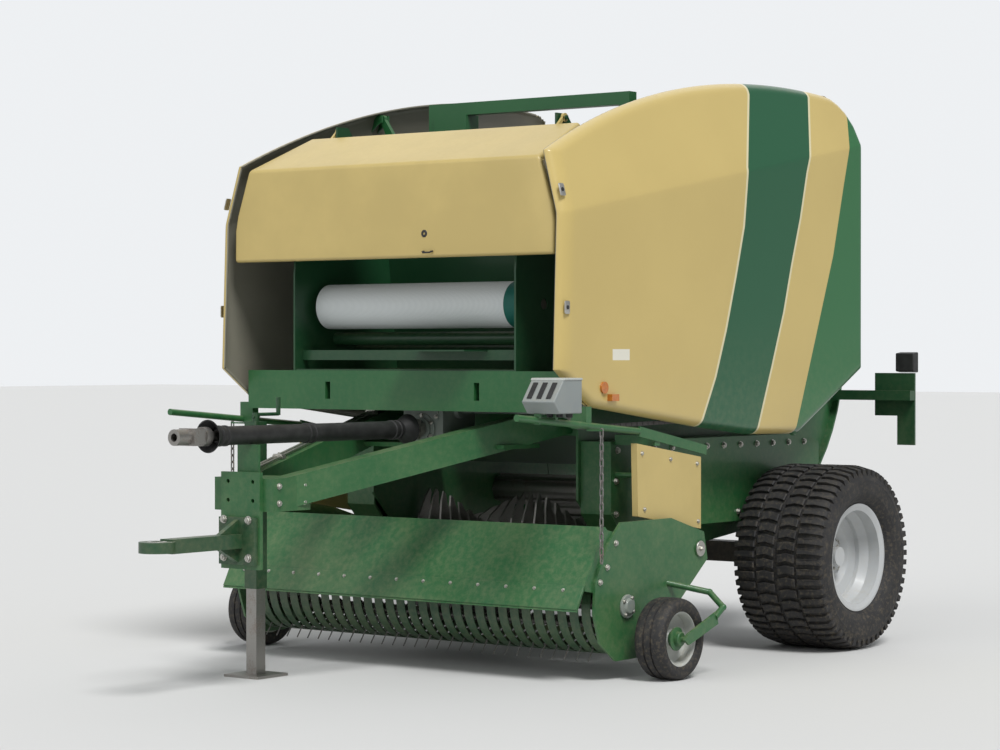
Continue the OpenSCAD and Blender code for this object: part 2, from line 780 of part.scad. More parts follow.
module gearbox() {
    color(box_grey) from_axle() difference() {
        union() {
            plate([[1545, 1020], [1785, 1020], [1785, 1200], [1745, 1255], [1585, 1255], [1545, 1200]],
                [-115, 115]);
            bar_x([1785, 1806], 0, pto_z, 52);
            // Cross shaft in its tube, to the chain drive on the left
            bar_y(shaft_x, shaft_z, 24, [110, frame_y + 30]);
            bar_y(shaft_x, shaft_z, 48, [110, 140]);
            bar_y(shaft_x, shaft_z, shaft_tube_r, [frame_y - 60, frame_y + 30]);
        }
        bar_x([1770, 1820], 0, pto_z, pto_r + fit);
    }
}

module pto_shaft() {
    color(steel) from_axle() difference() {
        union() {
            bar_x([1772, 3240], 0, pto_z, pto_r);
            bar_x([1812, 1850], 0, pto_z, 38);
            block([1840, 1885], [-30, 30], [pto_z - 46, pto_z + 46]);
            bar_x([3225, 3262], 0, pto_z, 40);
            block([3262, 3320], [-32, -20], [pto_z - 30, pto_z + 30]);
            block([3262, 3320], [20, 32], [pto_z - 30, pto_z + 30]);
            block([3316, 3345], [-44, 44], [pto_z - 36, pto_z + 36]);
            bar_x([3340, 3420], 0, pto_z, 34);
        }
        bar_x([3346, 3430], 0, pto_z, 17.5);
    }
}

module pto_guard() {
    color([0.1, 0.1, 0.1]) from_axle() difference() {
        union() {
            bar_x([1960, 3170], 0, pto_z, guard_r);
            translate([1900, 0, pto_z]) rotate([0, 90, 0]) cylinder(r1 = 70, r2 = guard_r, h = 62);
            translate([3168, 0, pto_z]) rotate([0, 90, 0]) cylinder(r1 = guard_r, r2 = 70, h = 50);
        }
        bar_x([1890, 1990], 0, pto_z, guard_r - 5);
        bar_x([2005, 3140], 0, pto_z, guard_r - 5);
        bar_x([3155, 3230], 0, pto_z, guard_r - 5);
        bar_x([1880, 3240], 0, pto_z, pto_r + 0.2);
        translate([1899, 0, pto_z]) rotate([0, 90, 0]) cylinder(r1 = 66, r2 = guard_r - 5, h = 60);
        translate([3170, 0, pto_z]) rotate([0, 90, 0]) cylinder(r1 = guard_r - 5, r2 = 66, h = 49);
    }
}

// Feed rotor: star plates in a spiral on a tube

module feed_rotor() {
    tube_r = 78;
    teeth = 4;
    step = (2 * wall_in - 80) / (rotor_stars - 1);
    color(steel) from_axle() {
        bar_y(rotor_x, rotor_z, pickup_pin_r, [-wall_out, wall_out]);
        bar_y(rotor_x, rotor_z, tube_r, [-wall_in + 2, wall_in - 2]);
        for (i = [0:rotor_stars - 1]) translate([rotor_x, -wall_in + 40 + i * step, rotor_z])
            rotate([0, i * 90 / rotor_stars * 2, 0]) for (k = [0:teeth - 1]) rotate([0, k * 360 / teeth, 0])
                plate([[40, -62], [tube_r + 20, -50], [rotor_r - 40, 0], [rotor_r - 2, 34],
                    [rotor_r - 22, 44], [rotor_r - 70, 34], [tube_r + 10, 46], [40, 60]], [-5, 5]);
    }
}

module feed_floor() {
    gap = 20;
    color(dark_green) from_axle() {
        slab([-wall_in, wall_in])
            ring_sector(rotor_r + gap, rotor_r + gap + sheet_t, 205, 290, [rotor_x, rotor_z]);
    }
}

// Tailgate

tail_a0 = 94.5;
tail_a1 = 266;

module tail_shape() difference() {
    polygon(concat(arc(chamber, chamber_r, tail_a0, tail_a1, 36),
        [split_low, split_top, [pivot_x - 110, pivot_z + 20]]));
    translate([pivot_x, pivot_z]) circle(r = pivot_clear);
}

module tailgate_frame() {
    ear = [wall_out + 5, wall_out + 25];
    color(green) from_axle() {
        both_sides() {
            slab([wall_in, wall_out]) tail_shape();
            // Rim of the wall, folded outwards
            slab([wall_out - 1, wall_out + 34])
                ring_sector(chamber_r - 12, chamber_r, tail_a0 + 8, tail_a1 - 3);
            plate([[split_low[0] - 12, split_low[1] + 40], [split_low[0] - 2, split_low[1] + 40],
                [split_top[0] - 62, split_top[1] - 160], [split_top[0] - 72, split_top[1] - 160]],
                [wall_out - 1, wall_out + 34]);
            // Hinge arm outside the front wall
            difference() {
                union() {
                    plate([[pivot_x - 30, pivot_z - 75], [pivot_x + 30, pivot_z + 68],
                        [pivot_x - 60, pivot_z + 72], [-260, 2260], [-330, 1960], [-200, 1900]], ear);
                    bar_y(pivot_x, pivot_z, 75, ear);
                    bar_y(cyl_eye[0], cyl_eye[1], 30, [ear[0], cyl_mid - cyl_eye_w / 2 - 6]);
                    plate([[-20, 2250], [-260, 2240], [-330, 1960], [-200, 1900], [0, 2100]],
                        [wall_out - 1, wall_out + 6]);
                }
                bar_y(pivot_x, pivot_z, pivot_r + fit, [wall_in, wall_out + 60]);
            }
            // Rib across the wall
            plate([[-880, 1480], [-40, 1480], [-40, 1520], [-880, 1520]], [wall_out - 1, wall_out + 26]);
        }
        // Cross tubes between the walls
        for (a = [168, 214, 246]) let (p = polar(chamber, chamber_r - 27, a))
            bar_y(p[0], p[1], 22, [-wall_in, wall_in]);
        ribbed_roller(252);
    }
}

module tailgate_cover() {
    color(beige) from_axle() slab([-wall_in, wall_in])
        ring_sector(chamber_r - sheet_t, chamber_r, 96.5, 160);
}

module rear_slat_apron() {
    color(steel) from_axle() apron_slats(rear_apron);
}

module rear_apron_chains() {
    color(steel) from_axle() apron_chains(rear_apron);
}

light_x = -880;
light_in = 1000;
light_out = 1100;

module rear_light_brackets() {
    color(dark_green) from_axle() both_sides() {
        // Box tube from the tailgate's wall
        block([light_x + 10, light_x + 60], [wall_out, light_out], [1190, 1240]);
        block([light_x, light_x + 12], [870, light_out], [1110, 1330]);
        block([light_x, light_x + 12], [light_in, light_out], [960, 1112]);
    }
}

module rear_lamps() {
    color([0.45, 0.06, 0.05]) from_axle() both_sides() {
        block([light_x - 40, light_x + 20], [light_in - 10, light_out], [1330, 1440]);
        translate([light_x, 0, 0]) rotate([90, 0, -90]) linear_extrude(10)
            polygon([[-light_out + 4, 965], [-light_in + 4, 965], [-(light_in + light_out) / 2 + 4, 1052]]);
    }
}

// Tailgate cylinders, in the space between wall and hood

cyl_base = [430, 1150];
cyl_eye = [-270, 1990];
cyl_mid = wall_out + 73;
cyl_eye_w = 36;
cyl_pin_r = 16;
cyl_r = 32;
rod_r = 18;

function cyl_point(d) = cyl_base + d * unit(cyl_eye - cyl_base);

module tail_cylinder(side) {
    mid = cyl_mid;
    length = norm(cyl_eye - cyl_base);
    a = cyl_point(44);
    b = cyl_point(length - 210);
    color(black) from_axle() on_side(side) difference() {
        union() {
            strut([a[0], mid, a[1]], [b[0], mid, b[1]], cyl_r);
            // Neck between the barrel and its eye
            strut([cyl_base[0], mid, cyl_base[1]], [a[0], mid, a[1]], cyl_eye_w / 2 - 1);
            bar_y(cyl_base[0], cyl_base[1], 38, [mid - cyl_eye_w / 2, mid + cyl_eye_w / 2]);
        }
        bar_y(cyl_base[0], cyl_base[1], cyl_pin_r + fit, [mid - 40, mid + 40]);
        let (c = cyl_point(110), d = cyl_point(length))
            strut([c[0], mid, c[1]], [d[0], mid, d[1]], rod_r + 0.1);
    }
}

module tail_rod(side) {
    mid = cyl_mid;
    a = cyl_point(120);
    color(rim_grey) from_axle() on_side(side) {
        strut([a[0], mid, a[1]], [cyl_eye[0], mid, cyl_eye[1]], rod_r);
        bar_y(cyl_eye[0], cyl_eye[1], 34, [mid - cyl_eye_w / 2, mid + cyl_eye_w / 2]);
        bar_y(cyl_eye[0], cyl_eye[1], cyl_pin_r, [mid, mid + cyl_eye_w / 2 + 8]);
    }
}

// Pick-up

band_a0 = -110;
band_a1 = 100;
reel = [reel_x, reel_z];
tine_count = floor((2 * pickup_half - 160) / tine_pitch) + 1;
tine_y0 = -(tine_count - 1) * tine_pitch / 2;

pickup_side_edge = [
    [rotor_x - 70, rotor_z - 50], [1250, 300], [1450, 130], [1580, 85], [1740, 85], [1860, 170], [1905, 300],
    [1895, 440], [1800, 600], [1700, 690], [1300, 690], [rotor_x - 40, rotor_z + 75]
];
beam_up = [1330, 470];
beam_low = [1360, 200];
beam_up_half = [30, 25];
beam_low_r = 15;

// The bent tube that carries a gauge wheel runs through these points, past the wheel's outer face
gauge_hang = gauge_w / 2 + 17;
gauge_stay = [[1330, pickup_half + 4, 400], [1230, gauge_y, 360], [1262, gauge_y + gauge_hang, 300],
    [1330, gauge_y + gauge_hang, 260]];
gauge_stay_r = 14;

module pickup_frame() {
    color(green) from_axle() {
        both_sides() difference() {
            union() {
                plate(pickup_side_edge, [pickup_half, pickup_half + pickup_plate]);
                // Stay and bent tube that carry the gauge wheel
                for (i = [0:len(gauge_stay) - 2]) strut(gauge_stay[i], gauge_stay[i + 1], gauge_stay_r);
                for (i = [1:len(gauge_stay) - 2]) translate(gauge_stay[i]) sphere(r = gauge_stay_r + 1.5);
                plate([[1310, 230], [gauge_x - 10, gauge_d / 2 - 24], [gauge_x + 24, gauge_d / 2],
                    [gauge_x, gauge_d / 2 + 24], [1320, 285]],
                    [gauge_y + gauge_hang - 6, gauge_y + gauge_hang + 6]);
                bar_y(gauge_x, gauge_d / 2, 12, [gauge_y - 40, gauge_y + gauge_hang]);
            }
            bar_y(rotor_x, rotor_z, pickup_pin_r + fit, [pickup_half - 5, pickup_half + 30]);
            bar_y(reel_x, reel_z, 25 + fit, [pickup_half - 5, pickup_half + 30]);
        }
        // Cross beams behind the reel
        slab([-pickup_half, pickup_half]) translate(beam_up - beam_up_half) square(2 * beam_up_half);
        bar_y(beam_low[0], beam_low[1], beam_low_r, [-pickup_half, pickup_half]);
    }
}

// A stripper band passes under, round the front and over the reel, between two rows of tines
module band_outline() {
    low = polar(reel, band_r, band_a0);
    low_end = low + (norm(beam_low - low) - beam_low_r - seat) * [sin(band_a0), -cos(band_a0)];
    high = polar(reel, band_r, band_a1);
    high_l = (high - beam_up - beam_up_half)[0] / sin(band_a1);
    high_end = high + high_l * [-sin(band_a1), cos(band_a1)] + [seat, 0];
    n_low = unit(low - reel);
    n_high = unit(high - reel);
    polygon(concat([low_end], arc(reel, band_r, band_a0, band_a1, 20),
        [high_end, high_end - band_t * n_high],
        reversed(arc(reel, band_r - band_t, band_a0, band_a1, 20)), [low_end - band_t * n_low]));
}

module stripper_bands() {
    color(dark_green) from_axle() for (i = [-1:tine_count - 1])
        let (y = tine_y0 + (i + 0.5) * tine_pitch) slab([y - band_w / 2, y + band_w / 2]) band_outline();
}

// Sheet over the front of the pick-up, with a stiff lower strip
module crop_guard() {
    top = [1800, 672];
    fold = [1952, 432];
    low = [2014, 318];
    t = 6;
    color(green) from_axle() plate([top, fold, low, low + [t, 2], fold + [t, 3], top + [t, 3]],
        [-pickup_half, pickup_half]);
}

module tine_reel() {
    bar_circle = 105;
    bar_r = 13;
    color(steel) from_axle() translate([reel_x, 0, reel_z]) {
        bar_y(0, 0, 25, [-pickup_half - pickup_plate, pickup_half + pickup_plate]);
        for (y = [-pickup_half + 12, -4, pickup_half - 20]) bar_y(0, 0, bar_circle + 20, [y, y + 8]);
        for (k = [0:tine_bars - 1]) rotate([0, -k * 360 / tine_bars - 18, 0]) {
            bar_y(bar_circle, 0, bar_r, [-pickup_half + 12, pickup_half - 12]);
            for (i = [0:tine_count - 1]) translate([bar_circle, tine_y0 + i * tine_pitch, 0])
                rotate([0, 90, 0]) cylinder(r = tine_wire, h = tine_r - bar_circle, $fn = 6);
        }
    }
}

module gauge_wheel(side) {
    r = gauge_d / 2;
    h = gauge_w / 2;
    color(black) from_axle() on_side(side) translate([gauge_x, gauge_y, r]) rotate([-90, 0, 0])
        difference() {
            union() {
                rotate_extrude() polygon([[96, -h + 24], [110, -h + 8], [r - 30, -h], [r - 10, -h + 14],
                    [r, -h + 45], [r, h - 45], [r - 10, h - 14], [r - 30, h], [110, h - 8], [96, h - 24]]);
                cylinder(r = 97, h = 8, center = true);
                cylinder(r = 36, h = gauge_w - 20, center = true);
            }
            cylinder(r = 12 + fit, h = gauge_w * 2, center = true);
        }
}

// Main wheels

module tyre(side) {
    h = tyre_w / 2;
    seat_r = bead_r + seat;
    wall = 24;
    outer = [[seat_r, rim_w / 2 - 14], [seat_r + 26, rim_w / 2 - 11], [(seat_r + casing_r) / 2 - 15, h - 3],
        [(seat_r + casing_r) / 2 + 25, h], [casing_r - 42, h - 4], [casing_r - 12, h - 22],
        [casing_r - 2, h - 62], [casing_r, h - 120]];
    inner = [[seat_r, rim_w / 2 - 60], [seat_r + 30, rim_w / 2 - 48], [(seat_r + casing_r) / 2, h - wall],
        [casing_r - 60, h - wall - 2], [casing_r - wall, h - 90]];
    far_outer = [for (p = reversed(outer)) [p[0], -p[1]]];
    far_inner = [for (p = inner) [p[0], -p[1]]];
    lug_l = 46;
    color(black) from_axle() on_side(side) translate([0, wheel_y, axle_z]) {
        rotate([-90, 0, 0]) rotate_extrude($fn = 96)
            polygon(concat(outer, far_outer, far_inner, reversed(inner)));
        for (i = [0:lug_count - 1]) for (s = [-1, 1])
            rotate([0, (i + (s > 0 ? 0 : 0.5)) * 360 / lug_count, 0])
                block([-lug_l / 2, lug_l / 2], s > 0 ? [h - 130, h - 10] : [10 - h, 130 - h],
                    [-tyre_r, 30 - casing_r]);
    }
}

module rim(side) {
    h = rim_w / 2;
    t = 9;
    outer = [[rim_d / 2, h], [bead_r, h - 10], [bead_r, h - 70], [bead_r - 22, h - 110],
        [bead_r - 22, 90 - h], [bead_r, 62 - h], [bead_r, 10 - h], [rim_d / 2, -h]];
    inner = [for (p = outer) [p[0] - t, p[1]]];
    disc = [[56, 34], [120, 34], [150, 62], [bead_r - 22 - t / 2, 72], [bead_r - 22 - t / 2, 60], [156, 50],
        [124, 22], [56, 22]];
    color(rim_grey) from_axle() on_side(side) translate([0, wheel_y, axle_z]) rotate([-90, 0, 0])
        difference() {
            union() {
                rotate_extrude($fn = 96) polygon(concat(outer, reversed(inner)));
                rotate_extrude($fn = 96) polygon(disc);
                translate([0, 0, -90]) cylinder(r = 80, h = 150);
                translate([0, 0, 60]) cylinder(r = 46, h = 42);
            }
            translate([0, 0, -100]) cylinder(r = spindle_r + fit, h = 155);
        }
}

chamber_walls();
chamber_cover();
chamber_rollers();
front_slat_apron();
front_apron_chains();
main_frame();
side_frames();
axle_beam();
lower_panels();
side_rails();
control_box();
guard_chains();
drive_sprockets();
drive_chain();
net_box();
net_roll();
net_hood();
hood_hinge_arms();
side_hood(1);  // side_hood_left
side_hood(-1);  // side_hood_right
hood_brackets(1);  // hood_brackets_left
hood_brackets(-1);  // hood_brackets_right
hood_markers(1);  // hood_markers_left
hood_markers(-1);  // hood_markers_right
drawbar();
hitch_eye();
jack_tube();
jack_leg();
gearbox();
pto_shaft();
pto_guard();
feed_rotor();
feed_floor();
tailgate_frame();
tailgate_cover();
rear_slat_apron();
rear_apron_chains();
rear_light_brackets();
rear_lamps();
tail_cylinder(1);  // cylinder_left
tail_cylinder(-1);  // cylinder_right
tail_rod(1);  // rod_left
tail_rod(-1);  // rod_right
pickup_frame();
stripper_bands();
crop_guard();
tine_reel();
gauge_wheel(1);  // gauge_wheel_left
gauge_wheel(-1);  // gauge_wheel_right
tyre(1);  // tyre_left
tyre(-1);  // tyre_right
rim(1);  // rim_left
rim(-1);  // rim_right
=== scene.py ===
"""Dressed model of a towed round baler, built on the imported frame."""

import math

import bpy
import numpy as np
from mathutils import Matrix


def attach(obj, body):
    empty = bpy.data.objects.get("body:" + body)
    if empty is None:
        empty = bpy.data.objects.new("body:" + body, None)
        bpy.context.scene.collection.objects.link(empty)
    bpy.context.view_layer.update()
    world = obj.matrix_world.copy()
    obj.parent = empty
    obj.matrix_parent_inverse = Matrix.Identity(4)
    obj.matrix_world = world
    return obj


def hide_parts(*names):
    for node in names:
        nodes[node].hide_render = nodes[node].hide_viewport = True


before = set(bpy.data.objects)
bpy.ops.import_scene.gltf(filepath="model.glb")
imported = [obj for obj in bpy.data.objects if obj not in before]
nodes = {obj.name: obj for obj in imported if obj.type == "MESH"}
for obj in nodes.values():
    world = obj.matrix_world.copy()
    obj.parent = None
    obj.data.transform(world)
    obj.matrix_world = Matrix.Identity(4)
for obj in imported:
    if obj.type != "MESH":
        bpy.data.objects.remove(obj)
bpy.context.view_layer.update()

# ------------------------------
# Studio: pale floor, soft lamps and the camera
# The camera stands where the photographer stood, ahead of the baler and to its left, at head
# height, with a longer lens so that the baler fills the picture.

scene = bpy.context.scene
scene.view_settings.view_transform = "Standard"

floor_half = 80.0
floor_corners = [(x * floor_half, y * floor_half, 0) for x, y in ((-1, -1), (1, -1), (1, 1), (-1, 1))]
floor_mesh = bpy.data.meshes.new("studio_floor")
floor_mesh.from_pydata(floor_corners, [], [(0, 1, 2, 3)])
floor = bpy.data.objects.new("studio_floor", floor_mesh)
scene.collection.objects.link(floor)
floor_paint = bpy.data.materials.new("studio_floor")
floor_paint.use_nodes = True
floor_shader = floor_paint.node_tree.nodes["Principled BSDF"]
floor_shader.inputs["Base Color"].default_value = (0.60, 0.60, 0.59, 1)
floor_shader.inputs["Roughness"].default_value = 0.9
floor_mesh.materials.append(floor_paint)

world = bpy.data.worlds.new("studio_air")
scene.world = world
world.use_nodes = True
air = world.node_tree
air.nodes.clear()
air_out = air.nodes.new("ShaderNodeOutputWorld")
air_mix = air.nodes.new("ShaderNodeMixShader")
air_path = air.nodes.new("ShaderNodeLightPath")
air.links.new(air_path.outputs["Is Camera Ray"], air_mix.inputs[0])
# what lights the baler, then what the camera sees behind it
for socket, colour, strength in ((1, (0.93, 0.96, 1.0, 1), 0.38), (2, (0.90, 0.92, 0.94, 1), 0.95)):
    glow = air.nodes.new("ShaderNodeBackground")
    glow.inputs["Color"].default_value = colour
    glow.inputs["Strength"].default_value = strength
    air.links.new(glow.outputs[0], air_mix.inputs[socket])
air.links.new(air_mix.outputs[0], air_out.inputs["Surface"])


def sunlight(name, azimuth, elevation, strength, spread):
    """A soft distant lamp. Its light comes from the azimuth and elevation given, in degrees."""
    lamp = bpy.data.lights.new(name, "SUN")
    lamp.energy, lamp.angle = strength, math.radians(spread)
    obj = bpy.data.objects.new(name, lamp)
    scene.collection.objects.link(obj)
    obj.rotation_euler = (math.radians(90 - elevation), 0, math.radians(azimuth))


sunlight("key_lamp", 150, 54, 2.7, 20)
sunlight("fill_lamp", 75, 30, 0.7, 60)
sunlight("back_lamp", 300, 35, 0.5, 60)

camera = bpy.data.objects.new("camera", bpy.data.cameras.new("camera"))
scene.collection.objects.link(camera)
scene.camera = camera
camera.location = (10.11, 7.73, 1.43)
aim = np.array([0.09, 0.16, 1.33]) - np.array(camera.location)
pitch, yaw = math.atan2(aim[2], math.hypot(aim[0], aim[1])), math.atan2(aim[1], aim[0])
camera.rotation_euler = (pitch + math.pi / 2, 0, yaw - math.pi / 2)
camera.data.sensor_width = 36
camera.data.lens = 97
camera.data.clip_start, camera.data.clip_end = 0.1, 200

# ------------------------------
# Main tyres
# Wide low-pressure tyres on pressed wheels: a moulded rubber casing with stepped side walls, a
# row of heavy lugs on each shoulder and two rows of slanting blocks between them.

# Meshes are in millimetres: forward of the wheel axle, to the left of the machine's middle, and up.
AXLE = -1.3225  # the axle's place along the part, in metres
wheel_place = (0, 1060, 445)


class Tone:
    """A socket of a material. + - * / and ** on it add Math nodes; node() adds any other."""

    def __init__(self, tree, socket):
        self.tree, self.socket = tree, socket

    def node(self, kind, settings=(), sockets=(), out=0):
        """Adds a node: its settings first, then values or links of its sockets."""
        made = self.tree.nodes.new(kind)
        for name, value in dict(settings).items():
            if name == "stops":
                ramp = made.color_ramp.elements
                while len(ramp) < len(value):
                    ramp.new(0.5)
                for stop, (place, level) in zip(ramp, value):
                    stop.position, stop.color = place, (level, level, level, 1)
            else:
                setattr(made, name, value)
        for name, value in dict(sockets).items():
            if isinstance(value, Tone):
                self.tree.links.new(value.socket, made.inputs[name])
            else:
                made.inputs[name].default_value = value
        return Tone(self.tree, made.outputs[out])

    def math(self, operation, *values):
        """A Math node on the values given."""
        return self.node("ShaderNodeMath", {"operation": operation}, dict(enumerate(values)))

    def __add__(self, other):
        return self.math("ADD", self, other)

    def __sub__(self, other):
        return self.math("SUBTRACT", self, other)

    def __rsub__(self, other):
        return self.math("SUBTRACT", other, self)

    def __mul__(self, other):
        return self.math("MULTIPLY", self, other)

    def __truediv__(self, other):
        return self.math("DIVIDE", self, other)

    def __rtruediv__(self, other):
        return self.math("DIVIDE", other, self)

    def __pow__(self, other):
        return self.math("POWER", self, other)

    __radd__ = __add__
    __rmul__ = __mul__

    def sine(self):
        """The sine of this value, in radians."""
        return self.math("SINE", self)

    def parts(self):
        """x, y and z of this vector."""
        split = self.node("ShaderNodeSeparateXYZ", {}, {0: self}).socket.node
        return [Tone(self.tree, split.outputs[i]) for i in range(3)]

    def between(self, low, high):
        """0 below low, 1 above high, smooth from one to the other."""
        sockets = {"Value": self, "From Min": low, "From Max": high}
        return self.node("ShaderNodeMapRange", {"interpolation_type": "SMOOTHSTEP"}, sockets)

    def blend(self, under, over):
        """The colour under where this is 0, over where it is 1."""
        under, over = (c if isinstance(c, Tone) else (*c, 1) for c in (under, over))
        return self.node("ShaderNodeMix", {"data_type": "RGBA"}, {0: self, 6: under, 7: over}, out=2)


class Finish:
    """A material with one Principled shader, the places that its patterns read, and its slot."""

    def __init__(self, name, slot, **constants):
        self.slot = slot
        self.material = bpy.data.materials.new(name)
        self.material.use_nodes = True
        tree = self.material.node_tree
        self.tree, self.shader = tree, tree.nodes["Principled BSDF"]
        self.set(**constants)
        self.place = Tone(tree, None).node("ShaderNodeTexCoord", out=3)
        self.x, self.y, self.z = self.place.parts()
        self.side, self.up = Tone(tree, self.place.socket.node.outputs["Normal"]).parts()[1:]

    def set(self, **sockets):
        """Sets or links sockets of the shader, named as in base_color for Base Color."""
        for socket, value in sockets.items():
            made = self.shader.inputs[socket.replace("_", " ").title().replace("Ior", "IOR")]
            if isinstance(value, Tone):
                self.tree.links.new(value.socket, made)
            else:
                made.default_value = value
        return self

    def noise(self, scale, detail, roughness=0.55):
        """Clouds in the material, scale of them to the metre."""
        sockets = {"Vector": self.place, "Scale": scale, "Detail": detail, "Roughness": roughness}
        return self.place.node("ShaderNodeTexNoise", {}, sockets)

    def bump(self, height, strength, distance):
        """The surface's normal as a relief of the given height bends it."""
        sockets = {"Height": height, "Strength": strength, "Distance": distance}
        return self.place.node("ShaderNodeBump", {}, sockets)

    def on(self, *names):
        """Gives this finish to CAD nodes."""
        for name in names:
            for slot in nodes[name].material_slots:
                slot.material = self.material
        return self


def outward(verts, faces):
    """The same closed mesh with every face turned outwards, judged by its signed volume."""
    volume = 0.0
    for group in faces:
        corner = verts[group]
        for i in range(1, group.shape[1] - 1):
            volume += np.einsum("ij,ij->", np.cross(corner[:, 0], corner[:, i]), corner[:, i + 1])
    return (verts, faces) if volume > 0 else (verts, [group[:, ::-1] for group in faces])


def gather(*pieces):
    """Several meshes as one: their points end to end, their faces counted on."""
    starts = np.cumsum([0] + [len(verts) for verts, _ in pieces])
    faces = [group + start for (_, groups), start in zip(pieces, starts) for group in groups]
    return np.concatenate([verts for verts, _ in pieces]), faces


def handed(mesh, side, at=(0, 0, 0)):
    """A mesh moved to its place on the left (side 1), or the mirror image of that (side -1)."""
    verts, faces = mesh
    return (verts + at) * [1, side, 1], [group[:, ::side] for group in faces]


def add(name, mesh, finish, body, *replaced):
    """Makes a piece of a mesh. It rides on a body and stands in for the CAD nodes named."""
    crisp = math.radians(35)
    verts, faces = mesh
    data = bpy.data.meshes.new(name)
    metres = verts / 1000 + [AXLE, 0, 0]
    data.from_pydata(metres.tolist(), [], [f for group in faces for f in group.tolist()])
    data.materials.append(finish.material)
    data.shade_smooth()
    data.set_sharp_from_angle(angle=crisp)
    obj = bpy.data.objects.new(name, data)
    scene.collection.objects.link(obj)
    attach(obj, body)
    if replaced:
        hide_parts(*replaced)
    return obj


def quads(rows, columns, wrap_rows=False, wrap_columns=False):
    """Faces of a grid of points counted row by row; a wrapped side joins its last line to its first."""
    r = np.arange(rows if wrap_rows else rows - 1)[:, None]
    c = np.arange(columns if wrap_columns else columns - 1)[None, :]
    r1, c1 = (r + 1) % rows, (c + 1) % columns
    corners = [r * columns + c, r * columns + c1, r1 * columns + c1, r1 * columns + c]
    return np.stack(corners, -1).reshape(-1, 4)


def capped(verts, rings, n):
    """Solids one after another, each of rings of n points: walls from ring to ring, and a cap on
    the first and the last."""
    verts = verts.reshape(-1, 3)
    start = np.arange(len(verts) // (rings * n))[:, None, None] * rings * n
    end = np.arange(n)
    walls = quads(rings, n, wrap_columns=True) + start
    caps = np.stack([end[::-1], end + (rings - 1) * n]) + start
    return outward(verts, [walls.reshape(-1, 4), caps.reshape(-1, n)])


def curve(points, count):
    """A smooth curve through points (Catmull-Rom), cut into count steps between each two."""
    p = np.asarray(points, float)
    p = np.concatenate([2 * p[:1] - p[1:2], p, 2 * p[-1:] - p[-2:-1]])
    t = np.linspace(0, 1, count, endpoint=False)[None, :, None]
    a, b, c, d = (p[i : len(p) - 3 + i, None] for i in range(4))
    bend, twist = 2 * a - 5 * b + 4 * c - d, 3 * b - a - 3 * c + d
    path = 0.5 * (2 * b + (c - a) * t + bend * t**2 + twist * t**3)
    return np.concatenate([path.reshape(-1, p.shape[1]), p[-2:-1]])


def turns(count, first=0.0):
    """Angles of count equal steps of a full turn, from the step first on."""
    return (np.arange(count) + first) * 2 * math.pi / count


def lathe(profile, centre, axis="y", steps=40, closed=False):
    """A solid of revolution. Each point of the profile is (radius, distance along the axis); an
    open profile is capped flat at both ends, a closed one is a ring."""
    profile = np.asarray(profile, float)
    r, h = profile[:, :1], profile[:, 1:] + np.zeros(steps)
    across, up = r * np.cos(turns(steps)), r * np.sin(turns(steps))
    order = {"x": (h, across, up), "y": (across, h, up), "z": (across, up, h)}[axis]
    verts = np.stack(order, -1).reshape(-1, 3) + centre
    if closed:
        return outward(verts, [quads(len(profile), steps, wrap_rows=True, wrap_columns=True)])
    return capped(verts, len(profile), steps)


def both_halves(half):
    """A profile that ends in the middle, and its mirror image on from there."""
    half = np.asarray(half, float)
    return np.concatenate([half, half[-2::-1] * [1, -1]])


def tyre_mesh():
    """Casing: a closed profile turned about the axle. Its outer half is a smooth curve from bead to
    crown with steps in the side wall. Tread: each block is a footprint laid on the casing, in
    three rings: sunk into it, near its top, and the top itself drawn in for a chamfer."""
    half, crown, top = 245, 431, 445
    bead = [(236.5, 150), (237, 189), (250, 193.5), (268, 205), (292, 228), (318, 240.5), (350, 244.5)]
    shoulder = [(378, 242), (402, 233), (419, 217), (427.5, 190), (430.5, 150), (crown, 80), (crown, 0)]
    wall = curve(bead + shoulder, 8)
    step = 0
    for radius, width, height in ((276, 5, 3), (372, 4, 2.1), (312, 3, 1.5)):
        step = step + height * np.exp(-(((wall[:, 0] - radius) / width) ** 2))
    wall[:, 1] = np.minimum(wall[:, 1] + step * (wall[:, 1] > 190), half)
    lining = np.array([(407, 155), (371, 219), (330, 221), (270, 155), (236.5, 143)])
    profile = np.concatenate([both_halves(wall), lining[::-1] * [1, -1], lining])
    out = [lathe(profile, (0, 0, 0), steps=180, closed=True)]
    # footprints: round the tyre and across it; rows: first step, footprint, side, blocks round
    lug = [(-13, 116), (-11, 165), (-14, 237), (13, 237), (17, 165), (15, 116)]
    block = [(-27, 10), (-16, 58), (-24, 104), (14, 106), (22, 60), (12, 8)]
    rows = [(0.0, lug, 1, 56), (0.5, lug, -1, 56), (0.3, block, 1, 48), (0.8, block, -1, 48)]
    for first, footprint, flip, count in rows:
        mark = np.array(footprint, float)
        drop = np.interp(mark[:, 1], [0, 200, 236], [0, 0, 16])
        base = np.interp(mark[:, 1], [0, 150, 190, 217, 236], [428, 427, 422, 410, 392])
        shrink = mark + (mark.mean(0) - mark) * 0.10
        rings = []
        for flat, radius in ((mark, base), (mark, top - 4 - drop), (shrink, top - drop)):
            angle = turns(count, first)[:, None] + flat[:, 0] / top
            across = np.broadcast_to(flip * flat[:, 1], angle.shape)
            rings.append(np.stack([np.cos(angle) * radius, across, np.sin(angle) * radius], -1))
        out.append(capped(np.stack(rings, 1), len(rings), len(mark)))
    return gather(*out)


